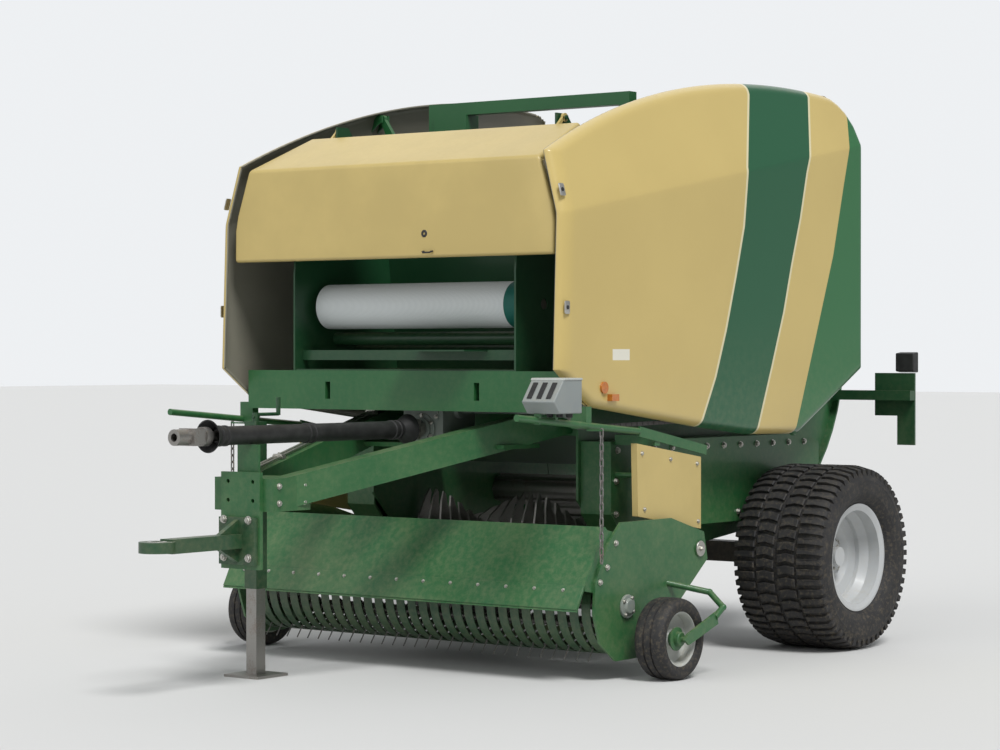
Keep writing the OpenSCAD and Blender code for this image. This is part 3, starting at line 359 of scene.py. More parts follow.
rubber = Finish("tyre_rubber", "tyre_rubber", ior=1.5)
wear = rubber.noise(9, 4)
clay = rubber.noise(55, 6, 0.7)
soil = clay.between(0.46, 0.7) * 0.45 * (1 - rubber.z.between(0.1, 1.2) * 0.6)
bare = wear.between(0.3, 0.7).blend((0.013, 0.013, 0.014), (0.024, 0.023, 0.023))
rubber.set(
    base_color=soil.blend(bare, (0.16, 0.13, 0.085)),
    roughness=0.72 + soil * 0.2,
    normal=rubber.bump(rubber.noise(260, 3), 0.25, 0.0008),
)
hands = ((1, "left"), (-1, "right"))
tyre = tyre_mesh()
for side, name in hands:
    mesh = handed(tyre, side, wheel_place)
    add(f"main_tyre_{name}", mesh, rubber, f"wheel_{name}", f"tyre_{name}")

# ------------------------------
# Main rims
# Pressed and welded steel wheels, sprayed light grey, held on the hub by ten nuts. Each has a
# rubber valve in its well and six small screws round the hub cap.

AHEAD, LEFT, UP = (1, 0, 0), (0, 1, 0), (0, 0, 1)
straw_dust = (0.43, 0.36, 0.22)


def sprayed(name, slot, colour, gloss=0.38, dust=0.45, coat=0.15):
    """Sprayed paint: colour clouds, dust that lies on upward faces and low down, orange peel."""
    finish = Finish(name, slot, coat_weight=coat, coat_roughness=0.12, ior=1.5)
    clouds = finish.noise(2.3, 4)
    grit = finish.noise(38, 5, 0.7)
    base = clouds.between(0.35, 0.72).blend([c * 0.88 for c in colour], colour)
    low = 1 - finish.z.between(0.25, 1.9)
    lying = finish.up.between(0.25, 0.95)
    film = grit.between(0.30, 0.85) * 0.65 + clouds.between(0.35, 0.75) * 0.35
    film = film * (low * 0.45 + lying * 0.6 + 0.04) * dust
    film = film.node("ShaderNodeClamp", {}, {0: film})
    finish.set(
        base_color=film.blend(base, straw_dust),
        roughness=film * 0.4 + gloss + grit * 0.06,
        normal=finish.bump(finish.noise(420, 1) * 0.5 + film * 0.5, 0.12, 0.0006),
    )
    return finish


def worn_steel(name, colour=(0.33, 0.32, 0.30), rough=0.38, rust=0.35):
    """Steel with fine scratches, cloudy oxide and spots of rust."""
    finish = Finish(name, "worked_steel", ior=1.5)
    clouds = finish.noise(11, 5, 0.65)
    fine = finish.noise(140, 4, 0.6)
    spots = (clouds * 0.6 + fine * 0.4).between(0.5, 0.68) * rust
    finish.set(
        base_color=spots.blend(colour, (0.16, 0.075, 0.035)),
        metallic=1 - spots * 0.9,
        roughness=rough + spots * 0.35 + fine * 0.1,
        normal=finish.bump(fine + spots, 0.15, 0.0008),
    )
    return finish


def unit(vectors):
    """The same directions, each of length 1."""
    return vectors / np.linalg.norm(vectors, axis=-1, keepdims=True)


def disc(radius, sides=12):
    """A circle's points, the section of a round bar."""
    return np.stack([np.cos(turns(sides)), np.sin(turns(sides))], 1) * radius


def on_circle(angles, radius, centre):
    """Places round an axis that lies across the machine, the angles counted from straight ahead."""
    return np.stack([np.cos(angles), 0 * angles, np.sin(angles)], 1) * radius + centre


def bolts(size, places, directions):
    """Hexagon heads with washers. size is the bolt's nominal radius; each head stands at a place,
    seen along its direction: washer, hexagon with a chamfered top, and a short stub, each given by
    its rings of (radius, height) in sizes."""
    places = np.asarray(places, float).reshape(-1, 3)
    towards = unit(np.broadcast_to(np.asarray(directions, float), places.shape))
    helper = np.where(np.abs(towards[:, 2:]) > 0.9, AHEAD, UP)
    side = unit(np.cross(helper, towards))
    axes = np.stack([side, np.cross(towards, side), towards], 1)
    washer, hexagon = [(1.95, 0), (1.95, 0.32)], [(1.62, 0.32), (1.62, 1.32), (1.40, 1.50)]
    stub = [(0.8, 1.50), (0.8, 1.82)]
    made = []
    for sides, rings in ((24, washer), (6, hexagon), (12, stub)):
        local = [np.column_stack([disc(r, sides), np.full(sides, h)]) for r, h in rings]
        verts = places[:, None] + np.einsum("vi,pij->pvj", np.concatenate(local) * size, axes)
        made.append(capped(verts, len(rings), sides))
    return gather(*made)


sprayed("rim_grey", "rim_paint", (0.52, 0.54, 0.55), gloss=0.36, dust=0.45).on("rim_left", "rim_right")
zinc = worn_steel("zinc_plate", (0.52, 0.51, 0.47), 0.36, 0.25)
valve_profile = [(6, 0), (6, 18), (4, 20), (4, 45), (5.5, 46), (5.5, 56)]
wheel_nuts = gather(
    bolts(9.5, on_circle(turns(10), 100, (0, 34, 0)), LEFT),
    bolts(5, on_circle(turns(6) + 0.3, 63, (0, 60, 0)), LEFT),
    lathe(valve_profile, (196, 66, 0), steps=12),
)
for side, name in hands:
    add(f"wheel_nuts_{name}", handed(wheel_nuts, side, wheel_place), zinc, f"wheel_{name}")

# ------------------------------
# Axle, frame and chamber
# Folded and welded plate and box section, shot-blasted and sprayed green. In use it takes on dust
# low down and on upward faces. Zinc-plated bolts join the side frames, axle and drawbar.

green = sprayed("frame_green", "green_paint", (0.014, 0.115, 0.032)).on(
    "chamber_walls", "main_frame", "side_frames", "side_rails", "hood_hinge_arms",
    "hood_brackets_left", "hood_brackets_right", "drawbar", "tailgate_frame", "pickup_frame",
    "crop_guard",
)
sprayed("deep_green", "green_paint", (0.008, 0.062, 0.022)).on(
    "chamber_cover", "net_box", "hitch_eye", "jack_tube", "feed_floor", "rear_light_brackets",
    "stripper_bands",
)
black = sprayed("chassis_black", "black_paint", (0.016, 0.016, 0.017), gloss=0.45)
black.on("axle_beam", "cylinder_left", "cylinder_right")


def mirrored(mesh):
    """The mesh and its mirror image across the machine."""
    return gather(mesh, handed(mesh, -1))


frame_row = [(x, 780, 990) for x in range(-300, 1351, 150)]
frame_row += [(x, 780, z) for x, z in ((1362, 700), (1362, 850), (320, 665), (900, 665))]
panel_row = [(1010, 660), (1450, 735), (1470, 985), (1240, 952), (1020, 925)]
plate_holes = [(y, z) for y in (-70, 70) for z in (570, 730)]
block_row = [(x, 165, z) for x in (2800, 2960) for z in (800, 872)]
fasteners = gather(
    mirrored(bolts(8, frame_row, LEFT)),
    mirrored(bolts(5, [(x, 996, z) for x, z in panel_row], LEFT)),
    mirrored(bolts(7, block_row, LEFT)),
    bolts(9, [(3045, *hole) for hole in plate_holes], AHEAD),
    bolts(9, [(3000, *hole) for hole in plate_holes], (-1, 0, 0)),
)
add("frame_bolts", fasteners, zinc, "chassis")

# ------------------------------
# Hydraulic lines on the drawbar
# Two rigid steel tubes lie on the right drawbar beam, held by three clips. They end in couplings on
# the front block and in a small valve block on the cross member.


def sweep(path, section, up, closed=False):
    """A tube of any section along a path. The section's first axis stays square to the path and to
    the direction up, its second axis square to both."""
    path, section = np.asarray(path, float), np.asarray(section, float)
    ring = np.roll(path, -1, 0) - np.roll(path, 1, 0)
    along = unit(ring if closed else np.gradient(path, axis=0))
    side = unit(np.cross(along, np.asarray(up, float)))
    axes = np.stack([side, np.cross(side, along)], 1)
    verts = path[:, None] + np.einsum("si,pij->psj", section, axes)
    if closed:
        walls = quads(len(path), len(section), wrap_rows=True, wrap_columns=True)
        return outward(verts.reshape(-1, 3), [walls])
    return capped(verts, len(path), len(section))


def slab(outline, low, high, axis="y"):
    """A flat plate: an outline of two coordinates, drawn out from low to high along the axis."""
    a, b = np.tile(np.asarray(outline, float), (2, 1)).T
    h = np.repeat([low, high], len(outline))
    verts = np.stack({"x": (h, a, b), "y": (a, h, b), "z": (a, b, h)}[axis], 1)
    return capped(verts, 2, len(outline))


def bevel(obj, width, segments=2):
    """Rounds the sharp edges of a piece, to a width in millimetres."""
    edge = obj.modifiers.new("edge", "BEVEL")
    edge.width, edge.segments = width / 1000, segments
    edge.limit_method, edge.angle_limit = "ANGLE", math.radians(40)


front_bend = [(2862, -118, 955), (2862, -118, 940), (2845, -122, 931), (2800, -131, 933)]
on_beam = [(2450, -221, 1000.5), (2100, -311, 1067.6), (1800, -389, 1125), (1500, -466, 1182.7)]
rear_bend = [(1420, -487, 1203), (1380, -497, 1228), (1350, -505, 1238), (1330, -510, 1238)]
coupling = [(10, 0), (10, 14), (12.5, 16), (12.5, 40), (9, 43), (9, 54)]
lines = []
for shift in (-14, 14):
    route = np.array(front_bend + on_beam + rear_bend) + [0, shift, 0]
    lines.append(sweep(curve(route, 6), disc(6.5), LEFT))
    lines.append(lathe(coupling, (2862, -118 + shift, 950), "z", 20))
# the top of the right beam at the cross member, and its run to the left and up for each mm ahead
member_x, beam_top, beam_run = 1368, np.array([-500, 1196]), np.array([0.2579, -0.1918])
for x in (2560, 2100, 1640):
    y, z = beam_top + beam_run * (x - member_x)
    clip = np.array([(-32, 0), (32, 0), (32, 8), (24, 21), (-24, 21), (-32, 8)]) + [y, z]
    lines.append(slab(clip, x - 11, x + 11, "x"))
    lines.append(bolts(4, (x, y, z + 21), UP))
add("hydraulic_lines", gather(*lines), zinc, "chassis")
valve = gather(
    slab([(1262, -540), (1330, -540), (1330, -478), (1262, -478)], 1208, 1262, "z"),
    lathe([(17, 0), (17, 44), (13, 48)], (1296, -509, 1262), "z", 24),
)
bevel(add("valve_block", valve, black, "chassis"), 3)

# ------------------------------
# Hitch and jack
# A cast eye bolted to the drawbar's plate, and a screw jack in its tube beside the right beam: the
# eye's wear ring, the jack's pin with its ring, and a grease nipple.


def turned(radius, low, high, chamfer, centre, bore=0, axis="y", steps=40):
    """A turned bar with chamfered ends, or a ring where it has a bore."""
    near, far = (radius - chamfer, low), (radius - chamfer, high)
    profile = [near, (radius, low + chamfer), (radius, high - chamfer), far]
    if bore:
        profile = [(bore, low), *profile, (bore, high)]
    return lathe(profile, centre, axis, steps, closed=bore > 0)


pin = [(11, 0), (11, 6), (8, 7), (8, 18), (6, 20)]
pin_ring = np.column_stack([np.zeros(40), disc(1, 40) * [8, 22]]) + [2560, -385, 452]
hitch_fittings = gather(
    turned(41, -23.5, 23.5, 1, (3520, 0, 640), bore=25.5, axis="z", steps=64),
    lathe(pin, (2560, -385, 470), "y", 24),
    sweep(pin_ring, disc(2.2, 8), AHEAD, True),
    lathe([(6, 0), (6, 6), (3.5, 8), (4.5, 13)], (2560, -330, 1130), "z", 16),
)
add("hitch_and_jack_fittings", hitch_fittings, zinc, "chassis")
crop_steel = worn_steel("crop_polished_steel").on(
    "jack_leg", "chamber_rollers", "front_slat_apron", "rear_slat_apron", "feed_rotor", "pto_shaft",
)
chain_steel = worn_steel("chain_steel", (0.25, 0.245, 0.235), 0.5, 0.5).on(
    "front_apron_chains", "rear_apron_chains", "drive_sprockets", "drive_chain",
)

# ------------------------------
# Drive line
# The drive shaft turns in two plastic guard tubes with a bell at each end, held from turning by
# rings. It enters a cast gearbox with a bolted cover and a breather.

guard = Finish("guard_plastic", "guard_plastic", ior=1.5)
faded = guard.noise(16, 3).between(0.3, 0.8)
guard.set(
    base_color=faded.blend((0.012, 0.012, 0.012), (0.03, 0.03, 0.03)),
    roughness=0.5 + guard.noise(40, 2) * 0.08,
    normal=guard.bump(guard.noise(300, 2), 0.1, 0.0005),
)
guard.on("pto_guard")
rib = [(40.2, 0), (44.5, 3), (44.5, 13), (40.2, 16)]
shaft_height = 1085
ribs = [lathe(rib, (x, 0, shaft_height), "x", 48, True) for x in (1975, 2010, 2560, 2595, 3110, 3145)]
add("guard_rings", gather(*ribs), guard, "chassis")
cast_grey = sprayed("box_grey", "cast_housing", (0.20, 0.24, 0.22), gloss=0.5).on("gearbox")
seal_flange = [(46, 1785), (70, 1785), (72, 1787), (72, 1795), (70, 1797), (53, 1797)]
front_plate = [(-92, 1130), (92, 1130), (92, 1192), (60, 1236), (-60, 1236), (-92, 1192)]
breather = [(12, 0), (12, 10), (7, 12), (7, 22), (13, 24), (13, 34), (8, 40)]
cover = gather(
    lathe(seal_flange, (0, 0, shaft_height), "x", 64, True),
    slab(front_plate, 1785, 1792, "x"),
    lathe(breather, (1665, -50, 1255), "z", 24),
)
bevel(add("gearbox_cover", cover, cast_grey, "chassis"), 1.5)
# a circle round the shaft: forward and across change places
flange_bolts = on_circle(turns(6) + 0.5, 62, (0, 1797, shaft_height))[:, [1, 0, 2]]
plate_bolts = [(1792, y, z) for y, z in ((80, 1142), (80, 1188), (50, 1226))]
gear_bolts = gather(
    bolts(5.5, flange_bolts, AHEAD),
    mirrored(bolts(5.5, plate_bolts, AHEAD)),
    mirrored(bolts(9, [(1600, 115, 1060), (1730, 115, 1060)], LEFT)),
)
add("gearbox_bolts", gear_bolts, zinc, "chassis")

# ------------------------------
# Roller chain
# Drives the lowest front roller from the cross shaft, on the left under the hood. Outer and inner
# links alternate; pins and rollers join them.


def chain_run(first, first_r, second, second_r, pitch):
    """Joints at equal steps round two circles: their two outer tangents and the far arcs."""
    span = second - first
    ahead = unit(span)
    aside = np.array([-ahead[1], ahead[0]])
    tilt = math.asin((first_r - second_r) / np.linalg.norm(span))
    far = np.linspace(math.pi / 2 - tilt, tilt - math.pi / 2, 60)[:, None]
    near = np.linspace(tilt - math.pi / 2, -math.pi * 1.5 - tilt, 60)[:, None]
    round_second = second + (ahead * np.cos(far) + aside * np.sin(far)) * second_r
    round_first = first + (ahead * np.cos(near) + aside * np.sin(near)) * first_r
    loop = np.concatenate([round_second, round_first, round_second[:1]])
    length = np.concatenate([[0], np.cumsum(np.linalg.norm(np.diff(loop, axis=0), axis=1))])
    count = 2 * round(length[-1] / pitch / 2)
    at = np.arange(count) * length[-1] / count
    return np.stack([np.interp(at, length, loop[:, i]) for i in (0, 1)], 1)


def along_chain(outline, starts, ends, low, high):
    """The same flat plate on each link: the outline's first axis runs from a link's start to its
    end, its second square to that; drawn out across the machine from low to high."""
    ahead = unit(ends - starts)
    axes = np.stack([ahead, ahead[:, ::-1] * [-1, 1]], 1)
    flat = starts[:, None] + np.einsum("oi,lij->loj", outline, axes)
    flat = np.repeat(flat[:, None], 2, 1)
    level = np.broadcast_to(np.array([low, high])[:, None], flat.shape[:3])
    return capped(np.stack([flat[..., 0], level, flat[..., 1]], -1), 2, len(outline))


link_pitch, plate_round = 22.45, 8.5
joints = chain_run(np.array([1665, 1180]), 79, np.array([808.1, 1205.9]), 93, link_pitch)
onward = np.roll(joints, -1, 0)
half_round = np.linspace(math.pi / 2, math.pi * 1.5, 7)
plate = np.stack([np.cos(half_round), np.sin(half_round)], 1) * plate_round
plate = np.concatenate([plate, [link_pitch, 0] - plate])
outer, inner, every = slice(0, None, 2), slice(1, None, 2), slice(None)
chain = [
    along_chain(section, joints[links], onward[links], low, high)
    for section, links, low, high in (
        (plate, outer, 782.2, 784.1),
        (plate, outer, 799.9, 801.8),
        (plate, inner, 784.2, 785.9),
        (plate, inner, 798.1, 799.8),
        (disc(5.2, 10), every, 785.9, 798.1),
        (disc(3, 8), every, 781.6, 802.4),
    )
]
add("roller_chain", gather(*chain), chain_steel, "chassis", "drive_chain")

# ------------------------------
# Chain guides of the aprons
# A plastic rail on each wall fills the loop of an apron's chain, which slides round it. A row of
# screws holds it. The rear pair opens with the tailgate.

chamber_height, apron_radius = 1500, 850
rail = [(-26.5, -9), (26.5, -9), (26.5, 9), (-26.5, 9)]


def guide_arc(first, last, count, out):
    """Places at equal angles from first to last, in degrees, on the middle of an apron's loop."""
    angles = np.radians(np.linspace(first, last, count))
    return on_circle(angles, apron_radius, (0, out, chamber_height))


for label, first, last, body in (("front", -4, 66, "chassis"), ("rear", 99, 238, "tailgate")):
    rails = sweep(guide_arc(first, last, 60, 591), rail, LEFT)
    screws = bolts(3.5, guide_arc(first + 3, last - 3, (last - first) // 9, 582), (0, -1, 0))
    add(f"{label}_chain_guides", mirrored(rails), guard, body)
    add(f"{label}_chain_guide_screws", mirrored(screws), zinc, body)

# ------------------------------
# Tine reel
# Five bars carry fifteen double tines each, wound from one spring wire: leg, coil round the bar, a
# bridge bolted to the bar, coil, leg. Three discs on a shaft carry the bars.

bar_ring, coil_ring, tine_tip = 105, 18.2, 280


def double_tine():
    """The wire's path for one half, mirrored for the other. Coordinates are outwards from the bar,
    sideways and along it. Legs stand off the bar by the coil's radius; the coil is a helix."""
    wound = np.linspace(-math.pi / 2, -math.pi / 2 - 4.5 * math.pi, 28)
    coil = np.stack([np.cos(wound) * coil_ring, np.sin(wound) * coil_ring, np.linspace(0, 15.5, 28)], 1)
    reach = math.sqrt(tine_tip**2 - coil_ring**2) - bar_ring - 0.5
    leg = np.stack([np.linspace(reach, 12, 4), np.full(4, -coil_ring), np.zeros(4)], 1)
    bridge = [(-coil_ring, 0, 22), (-coil_ring, 0, 32.5)]
    verts, faces = sweep(np.concatenate([leg, coil, bridge]), disc(3.2, 6), (0.3, 0.5, 0.81))
    far_half = [0, 0, 65]
    return gather((verts, faces), outward(verts * [1, 1, -1] + far_half, faces))


def repeated(mesh, angles, shifts, centre):
    """Copies of a mesh on the reel: one for each angle about its axis and each shift along it."""
    verts, faces = mesh
    turn, shift = (a.ravel()[:, None] for a in np.meshgrid(angles, shifts, indexing="ij"))
    out, aside, along = verts.T
    x = np.cos(turn) * (bar_ring + out) - np.sin(turn) * aside
    z = np.sin(turn) * (bar_ring + out) + np.cos(turn) * aside
    copies = np.stack([x, along + shift, z], -1).reshape(-1, 3) + centre
    start = np.arange(len(turn))[:, None, None] * len(verts)
    return outward(copies, [(group[None] + start).reshape(-1, group.shape[1]) for group in faces])


reel_centre = np.array([1660, 0, 320])
bar_turns = np.radians(72 * np.arange(5) + 18)
pairs = 130 * np.arange(15) - 942.5
bridge_bolt = bolts(4.2, (-coil_ring - 2, 0, 32.5), (-1, 0, 0))
disc_hub = [(25.5, -18), (40, -18), (40, 26), (25.5, 26)]
reel = [
    repeated(double_tine(), bar_turns, pairs, reel_centre),
    repeated(bridge_bolt, bar_turns, pairs, reel_centre),
    turned(25, -1042, 1042, 2, reel_centre),
]
for y in (-1018, -4, 1010):
    middle = reel_centre + [0, y, 0]
    reel.append(turned(125, 0, 8, 1, middle, bore=26, steps=80))
    reel.append(lathe(disc_hub, middle, closed=True))
    reel.append(bolts(6, on_circle(bar_turns + 0.6, 66, middle + [0, 8, 0]), LEFT))
bar_profile = [(12, -1016), (13, -1014), (13, 1014), (12, 1016)]
for spot in on_circle(bar_turns, bar_ring, reel_centre):
    reel.append(lathe(bar_profile, spot, steps=20))
tine_steel = worn_steel("tine_steel", (0.30, 0.29, 0.275), 0.42, 0.45)
add("spring_tine_reel", gather(*reel), tine_steel, "tine_reel", "tine_reel")

# ------------------------------
# Bearings of the pick-up
# A cast flange with four bolts closes each end of the reel's shaft. A zinc-plated cap with one bolt
# closes each pivot tube.

flange = [(50, 1042.2), (52, 1044), (52, 1052), (49, 1055), (36, 1056), (32, 1064), (28, 1067)]
add("reel_bearings", mirrored(lathe(flange, reel_centre, steps=48)), cast_grey, "pickup")
bearing_bolts = bolts(5, on_circle(turns(4) + 0.6, 43, reel_centre + [0, 1055.5, 0]), LEFT)
add("reel_bearing_bolts", mirrored(bearing_bolts), zinc, "pickup")
pivot_cap = gather(
    lathe([(35, 1045.5), (36, 1047), (36, 1051), (34, 1053)], (1070, 0, 540)),
    bolts(7, (1070, 1053, 540), LEFT),
)
add("pivot_caps", mirrored(pivot_cap), zinc, "chassis")

# ------------------------------
# Crop guard
# The sheet over the tines is welded to a bracket at each end, and each bracket is bolted to a side
# plate. A flat bar with a row of bolts stiffens its lower edge, a round bar the upper one.

bracket_top = [(1690, 545), (1690, 640), (1806, 664)]
bracket_front = [(1942, 448), (1958, 405), (1880, 392), (1800, 440)]
fold, down, ahead = np.array([1958, 435]), np.array([0.4747, -0.8805]), np.array([0.8805, 0.4747])
bar = [fold + down * 12, fold + down * 122]
bar += [bar[1] + ahead * 5, bar[0] + ahead * 5]
guard_fittings = gather(
    mirrored(slab(bracket_top + bracket_front, 1021.5, 1029.7)),
    slab(bar, -1030, 1030),
    lathe([(7, -1030), (7, 1030)], (1797, 0, 661), steps=20),
)
bevel(add("crop_guard_fittings", guard_fittings, green, "pickup"), 1.5)
row = fold + down * 34 + ahead * 4.9
guard_bolts = gather(
    bolts(4.2, [(row[0], y, row[1]) for y in np.linspace(-930, 930, 13)], (ahead[0], 0, ahead[1])),
    mirrored(bolts(7, [(1742, 1042, 602), (1808, 1042, 500), (1862, 1042, 438)], LEFT)),
)
add("crop_guard_bolts", guard_bolts, zinc, "pickup")

# ------------------------------
# Gauge wheels
# A small solid-rubber tyre on a pressed rim, light grey, with a green hub. Each turns on the stub
# of a bent arm beside the pick-up.

tread = [(118, 52), (124, 66), (140, 73.5), (158, 75), (170, 68), (177.5, 50), (179.5, 30)]
grooved = [(180, 24), (174, 22), (174, 16), (180, 14), (180, 0)]
small_tyre = both_halves(np.concatenate([curve(tread, 6), grooved]))
well = [(117, -54), (122, -60), (122, -56), (117.5, -50), (117.5, 50), (122, 56), (122, 60), (117, 60)]
rim_face = [(110, 50), (108, 12), (96, 4), (44, 4), (36, 14), (34, 14)]
rim_back = [(34, -4), (96, -6), (110, -12), (110, -50)]
hub_back = [(12.5, -64), (30, -64), (34, -60), (34, 30), (50, 32), (52, 34)]
hub_front = [(52, 40), (34, 44), (32, 62), (28, 66), (12.5, 66)]
light_rim = sprayed("gauge_rim", "rim_paint", (0.50, 0.52, 0.50), gloss=0.4, dust=0.6)
for side, name in hands:
    body = f"gauge_wheel_{name}"
    for label, profile, finish, replaced in (
        ("tyre", small_tyre, rubber, [body]),
        ("rim", well + rim_face + rim_back, light_rim, []),
        ("hub", hub_back + hub_front, green, []),
    ):
        mesh = lathe(profile, (1556, 1200, 180), steps=72, closed=True)
        add(f"gauge_{label}_{name}", handed(mesh, side), finish, body, *replaced)

# ------------------------------
# Net roll
# Net wound on a board tube, light grey with a blue-green marking band on its left end, carried by a
# steel spindle with a stop collar at each side.

roll_at = np.array([1735, 0, 1650])
net = Finish("net_wrap", "net_wrap", ior=1.45)
strands = (net.y * 900).sine()
rise, run = net.z - 1.650, net.x - (AXLE + 1.735)
layers = ((rise * rise + run * run) ** 0.5 * 2600).sine()
marked = (net.y - 0.500).between(-0.0008, 0.0008)
on_end = (net.side * net.side).between(0.4, 0.6)
wound = (strands * 0.5 + 0.5).blend((0.50, 0.54, 0.54), (0.72, 0.75, 0.75))
wound = on_end.blend(wound, (layers * 0.5 + 0.5).blend((0.42, 0.45, 0.45), (0.66, 0.69, 0.69)))
net.set(
    base_color=marked.blend(wound, (0.003, 0.105, 0.08)),
    roughness=0.6 + strands * 0.05,
    normal=net.bump(strands + layers * 0.5, 0.2, 0.001),
)
winding = turned(105, -606, 606, 4, roll_at, bore=42, steps=120)
add("net_roll_winding", winding, net, "net_roll", "net_roll")
board = Finish("board_tube", "net_wrap", ior=1.45)
fibres = board.noise(60, 4).between(0.3, 0.7)
board.set(
    base_color=fibres.blend((0.30, 0.22, 0.14), (0.38, 0.29, 0.19)),
    roughness=0.8 + board.noise(90, 2) * 0.1,
)
tube = [(24.5, -618), (41.5, -618), (41.5, 618), (24.5, 618)]
add("net_roll_tube", lathe(tube, roll_at, steps=60, closed=True), board, "net_roll")
spindle = gather(
    turned(24, -648, 648, 2, roll_at),
    turned(37, 0, 11, 1, roll_at + [0, -630, 0], bore=24.5),
    turned(37, 0, 11, 1, roll_at + [0, 619, 0], bore=24.5),
)
add("net_roll_spindle", spindle, crop_steel, "net_roll")

# ------------------------------
# Net hood
# One sheet, folded between its face and its top and turned in round its edges, hung from two lugs.
# It has a key lock and a small handle on its lower left. It narrows where the side hoods lean in.

shell_paint = (0.56, 0.43, 0.155)
beige_panel = sprayed("panel_beige", "beige_paint", shell_paint, gloss=0.40, dust=0.30)
beige_panel.on("lower_panels", "tailgate_cover")


def folded(points, rounds, steps=9):
    """A path through flat points, each inner corner replaced by an arc of its own radius."""
    points = np.asarray(points, float)
    path = [points[:1]]
    for before, corner, after, radius in zip(points, points[1:], points[2:], rounds):
        a, b = unit(before - corner), unit(after - corner)
        half = math.acos(np.clip(a @ b, -1, 1)) / 2
        middle = corner + unit(a + b) * radius / math.sin(half)
        start, stop = (corner + way * radius / math.tan(half) - middle for way in (a, b))
        share = np.linspace(0, 1, steps)[:, None]
        path.append(middle + unit(start * (1 - share) + stop * share) * radius)
    return np.concatenate([*path, points[-1:]])


def net_hood_shell():
    """Grid u along the folded path, v across. Towards each side the sheet turns in by a quarter
    circle and runs on as a cheek, at right angles to the path."""
    corners = [(1990, 1862), (2046, 1860), (2041, 2285), (1655, 2458), (1638, 2420)]
    path = folded(corners, (12, 22, 12))
    count = [7 if np.hypot(*(b - a)) > 100 else 2 for a, b in zip(path, path[1:])]
    cut = [np.linspace(a, b, n)[:-1] for a, b, n in zip(path, path[1:], count)]
    fine = np.concatenate([*cut, path[-1:]])
    along = unit(np.gradient(fine, axis=0))
    inward = along[:, ::-1] * [-1, 1]
    turn = np.linspace(math.pi / 2, 0, 7)
    edge_radius, cheek = 14, 45
    edge_in = np.concatenate([[cheek], edge_radius * (1 - np.cos(turn))])
    edge_out = np.concatenate([[0.0], edge_radius * (1 - np.sin(turn))])
    middle = np.linspace(-1, 1, 13)[1:-1]
    depth = np.concatenate([edge_in, middle * 0, edge_in[::-1]])
    half_width, lean_from, lean = 926, 2035, 0.33
    half = half_width - lean * np.clip(fine[:, 1] - lean_from, 0, None)
    across = np.concatenate([-1 + 0 * edge_out, middle, 1 + 0 * edge_out])
    short = np.concatenate([edge_out, middle * 0, -edge_out[::-1]])
    x = fine[:, :1] + inward[:, :1] * depth
    z = fine[:, 1:] + inward[:, 1:] * depth
    y = half[:, None] * across + short
    return np.stack([x, y, z], -1).reshape(-1, 3), [quads(*x.shape)]


def thicken(obj, thickness, offset):
    """Gives a bare surface the thickness of its sheet, in millimetres."""
    sheet = obj.modifiers.new("sheet", "SOLIDIFY")
    sheet.thickness, sheet.offset = thickness / 1000, offset


thicken(add("net_hood_shell", net_hood_shell(), beige_panel, "net_hood", "net_hood"), 5, 0)
lug_bush = [(10.2, 658), (20, 658), (20, 670), (10.2, 670)]
lug = [(1611, 2479), (1656, 2433), (1746, 2393), (1746, 2415), (1660, 2453), (1614, 2496)]
lugs = gather(lathe(lug_bush, (1600, 0, 2490), steps=32, closed=True), slab(lug, 658, 670))
add("net_hood_lugs", mirrored(lugs), beige_panel, "net_hood")
key_plate = [(17, 2042.5), (17, 2047.5), (15, 2049.5), (6, 2049.5), (6, 2047)]
handle_middle = 240
handle = [(2044, 215, 1886), (2060, 215, 1884), (2064, 221, 1880)]
handle += [(x, 2 * handle_middle - y, z) for x, y, z in handle[::-1]]
lock = gather(lathe(key_plate, (0, 216, 1965), "x", 32), sweep(handle, disc(4, 10), (0, 0.1, 1)))
add("net_hood_lock", lock, black, "net_hood")

# ------------------------------
# Side hoods
# One moulded shell on each side, hinged at the top. A crease rises to the rear and the shell leans
# inwards above it. Its edges are rounded and turned in to a flange; two key locks hold it in front.

hood_side, hood_lean = 1000, 0.29
hood_front, hood_rear, hood_length = 2090, -520, 2600
crease_turn = math.radians(9.8)
edge_round, front_round, flange_depth, crease_soft = 40, 85, 45, 8


def rim_loop(rows, columns):
    """Indices of a grid's border, once round."""
    index = np.arange(rows * columns).reshape(rows, columns)
    return np.concatenate([index[0, :-1], index[:-1, -1], index[-1, :0:-1], index[:0:-1, 0]])


def spread(count, rim, steps=7):
    """Numbers from 0 to 1: close together within rim of each end, as a quarter circle needs."""
    near = rim * (1 - np.cos(np.linspace(0, np.pi / 2, steps)))
    return np.concatenate([near, np.linspace(rim, 1 - rim, count)[1:-1], 1 - near[::-1]])


def inside_distance(x, z, outline):
    """Distance of points from a closed outline: the least distance to any of its edges."""
    best = np.full(x.shape, np.inf)
    for (ax, az), (bx, bz) in zip(outline, np.roll(outline, -1, 0)):
        dx, dz = bx - ax, bz - az
        t = np.clip(((x - ax) * dx + (z - az) * dz) / (dx * dx + dz * dz), 0, 1)
        best = np.minimum(best, np.hypot(x - ax - t * dx, z - az - t * dz))
    return best


def turned_in(distance, radius):
    """Depth of a quarter-round edge: radius at the rim, nothing further in than the radius."""
    near = np.clip(radius - distance, 0, radius)
    return radius - np.sqrt(radius**2 - near**2)


def hood_bottom(x):
    """Height of the hood's lower edge."""
    return np.interp(x, [-520, 100, 560, 1000, 1860, 2090], [1350, 1040, 1048, 1094, 1200, 1360])


def hood_top(x):
    """Height of the hood's upper edge: a long arc, and a short one round the rear corner."""
    over = 2734.8 - 4700 + np.sqrt(4700**2 - (x - 100) ** 2)
    corner = 2461 + np.sqrt(np.clip(260**2 - (x + 260) ** 2, 0, None))
    return np.where(x < -260, np.minimum(over, corner), over)


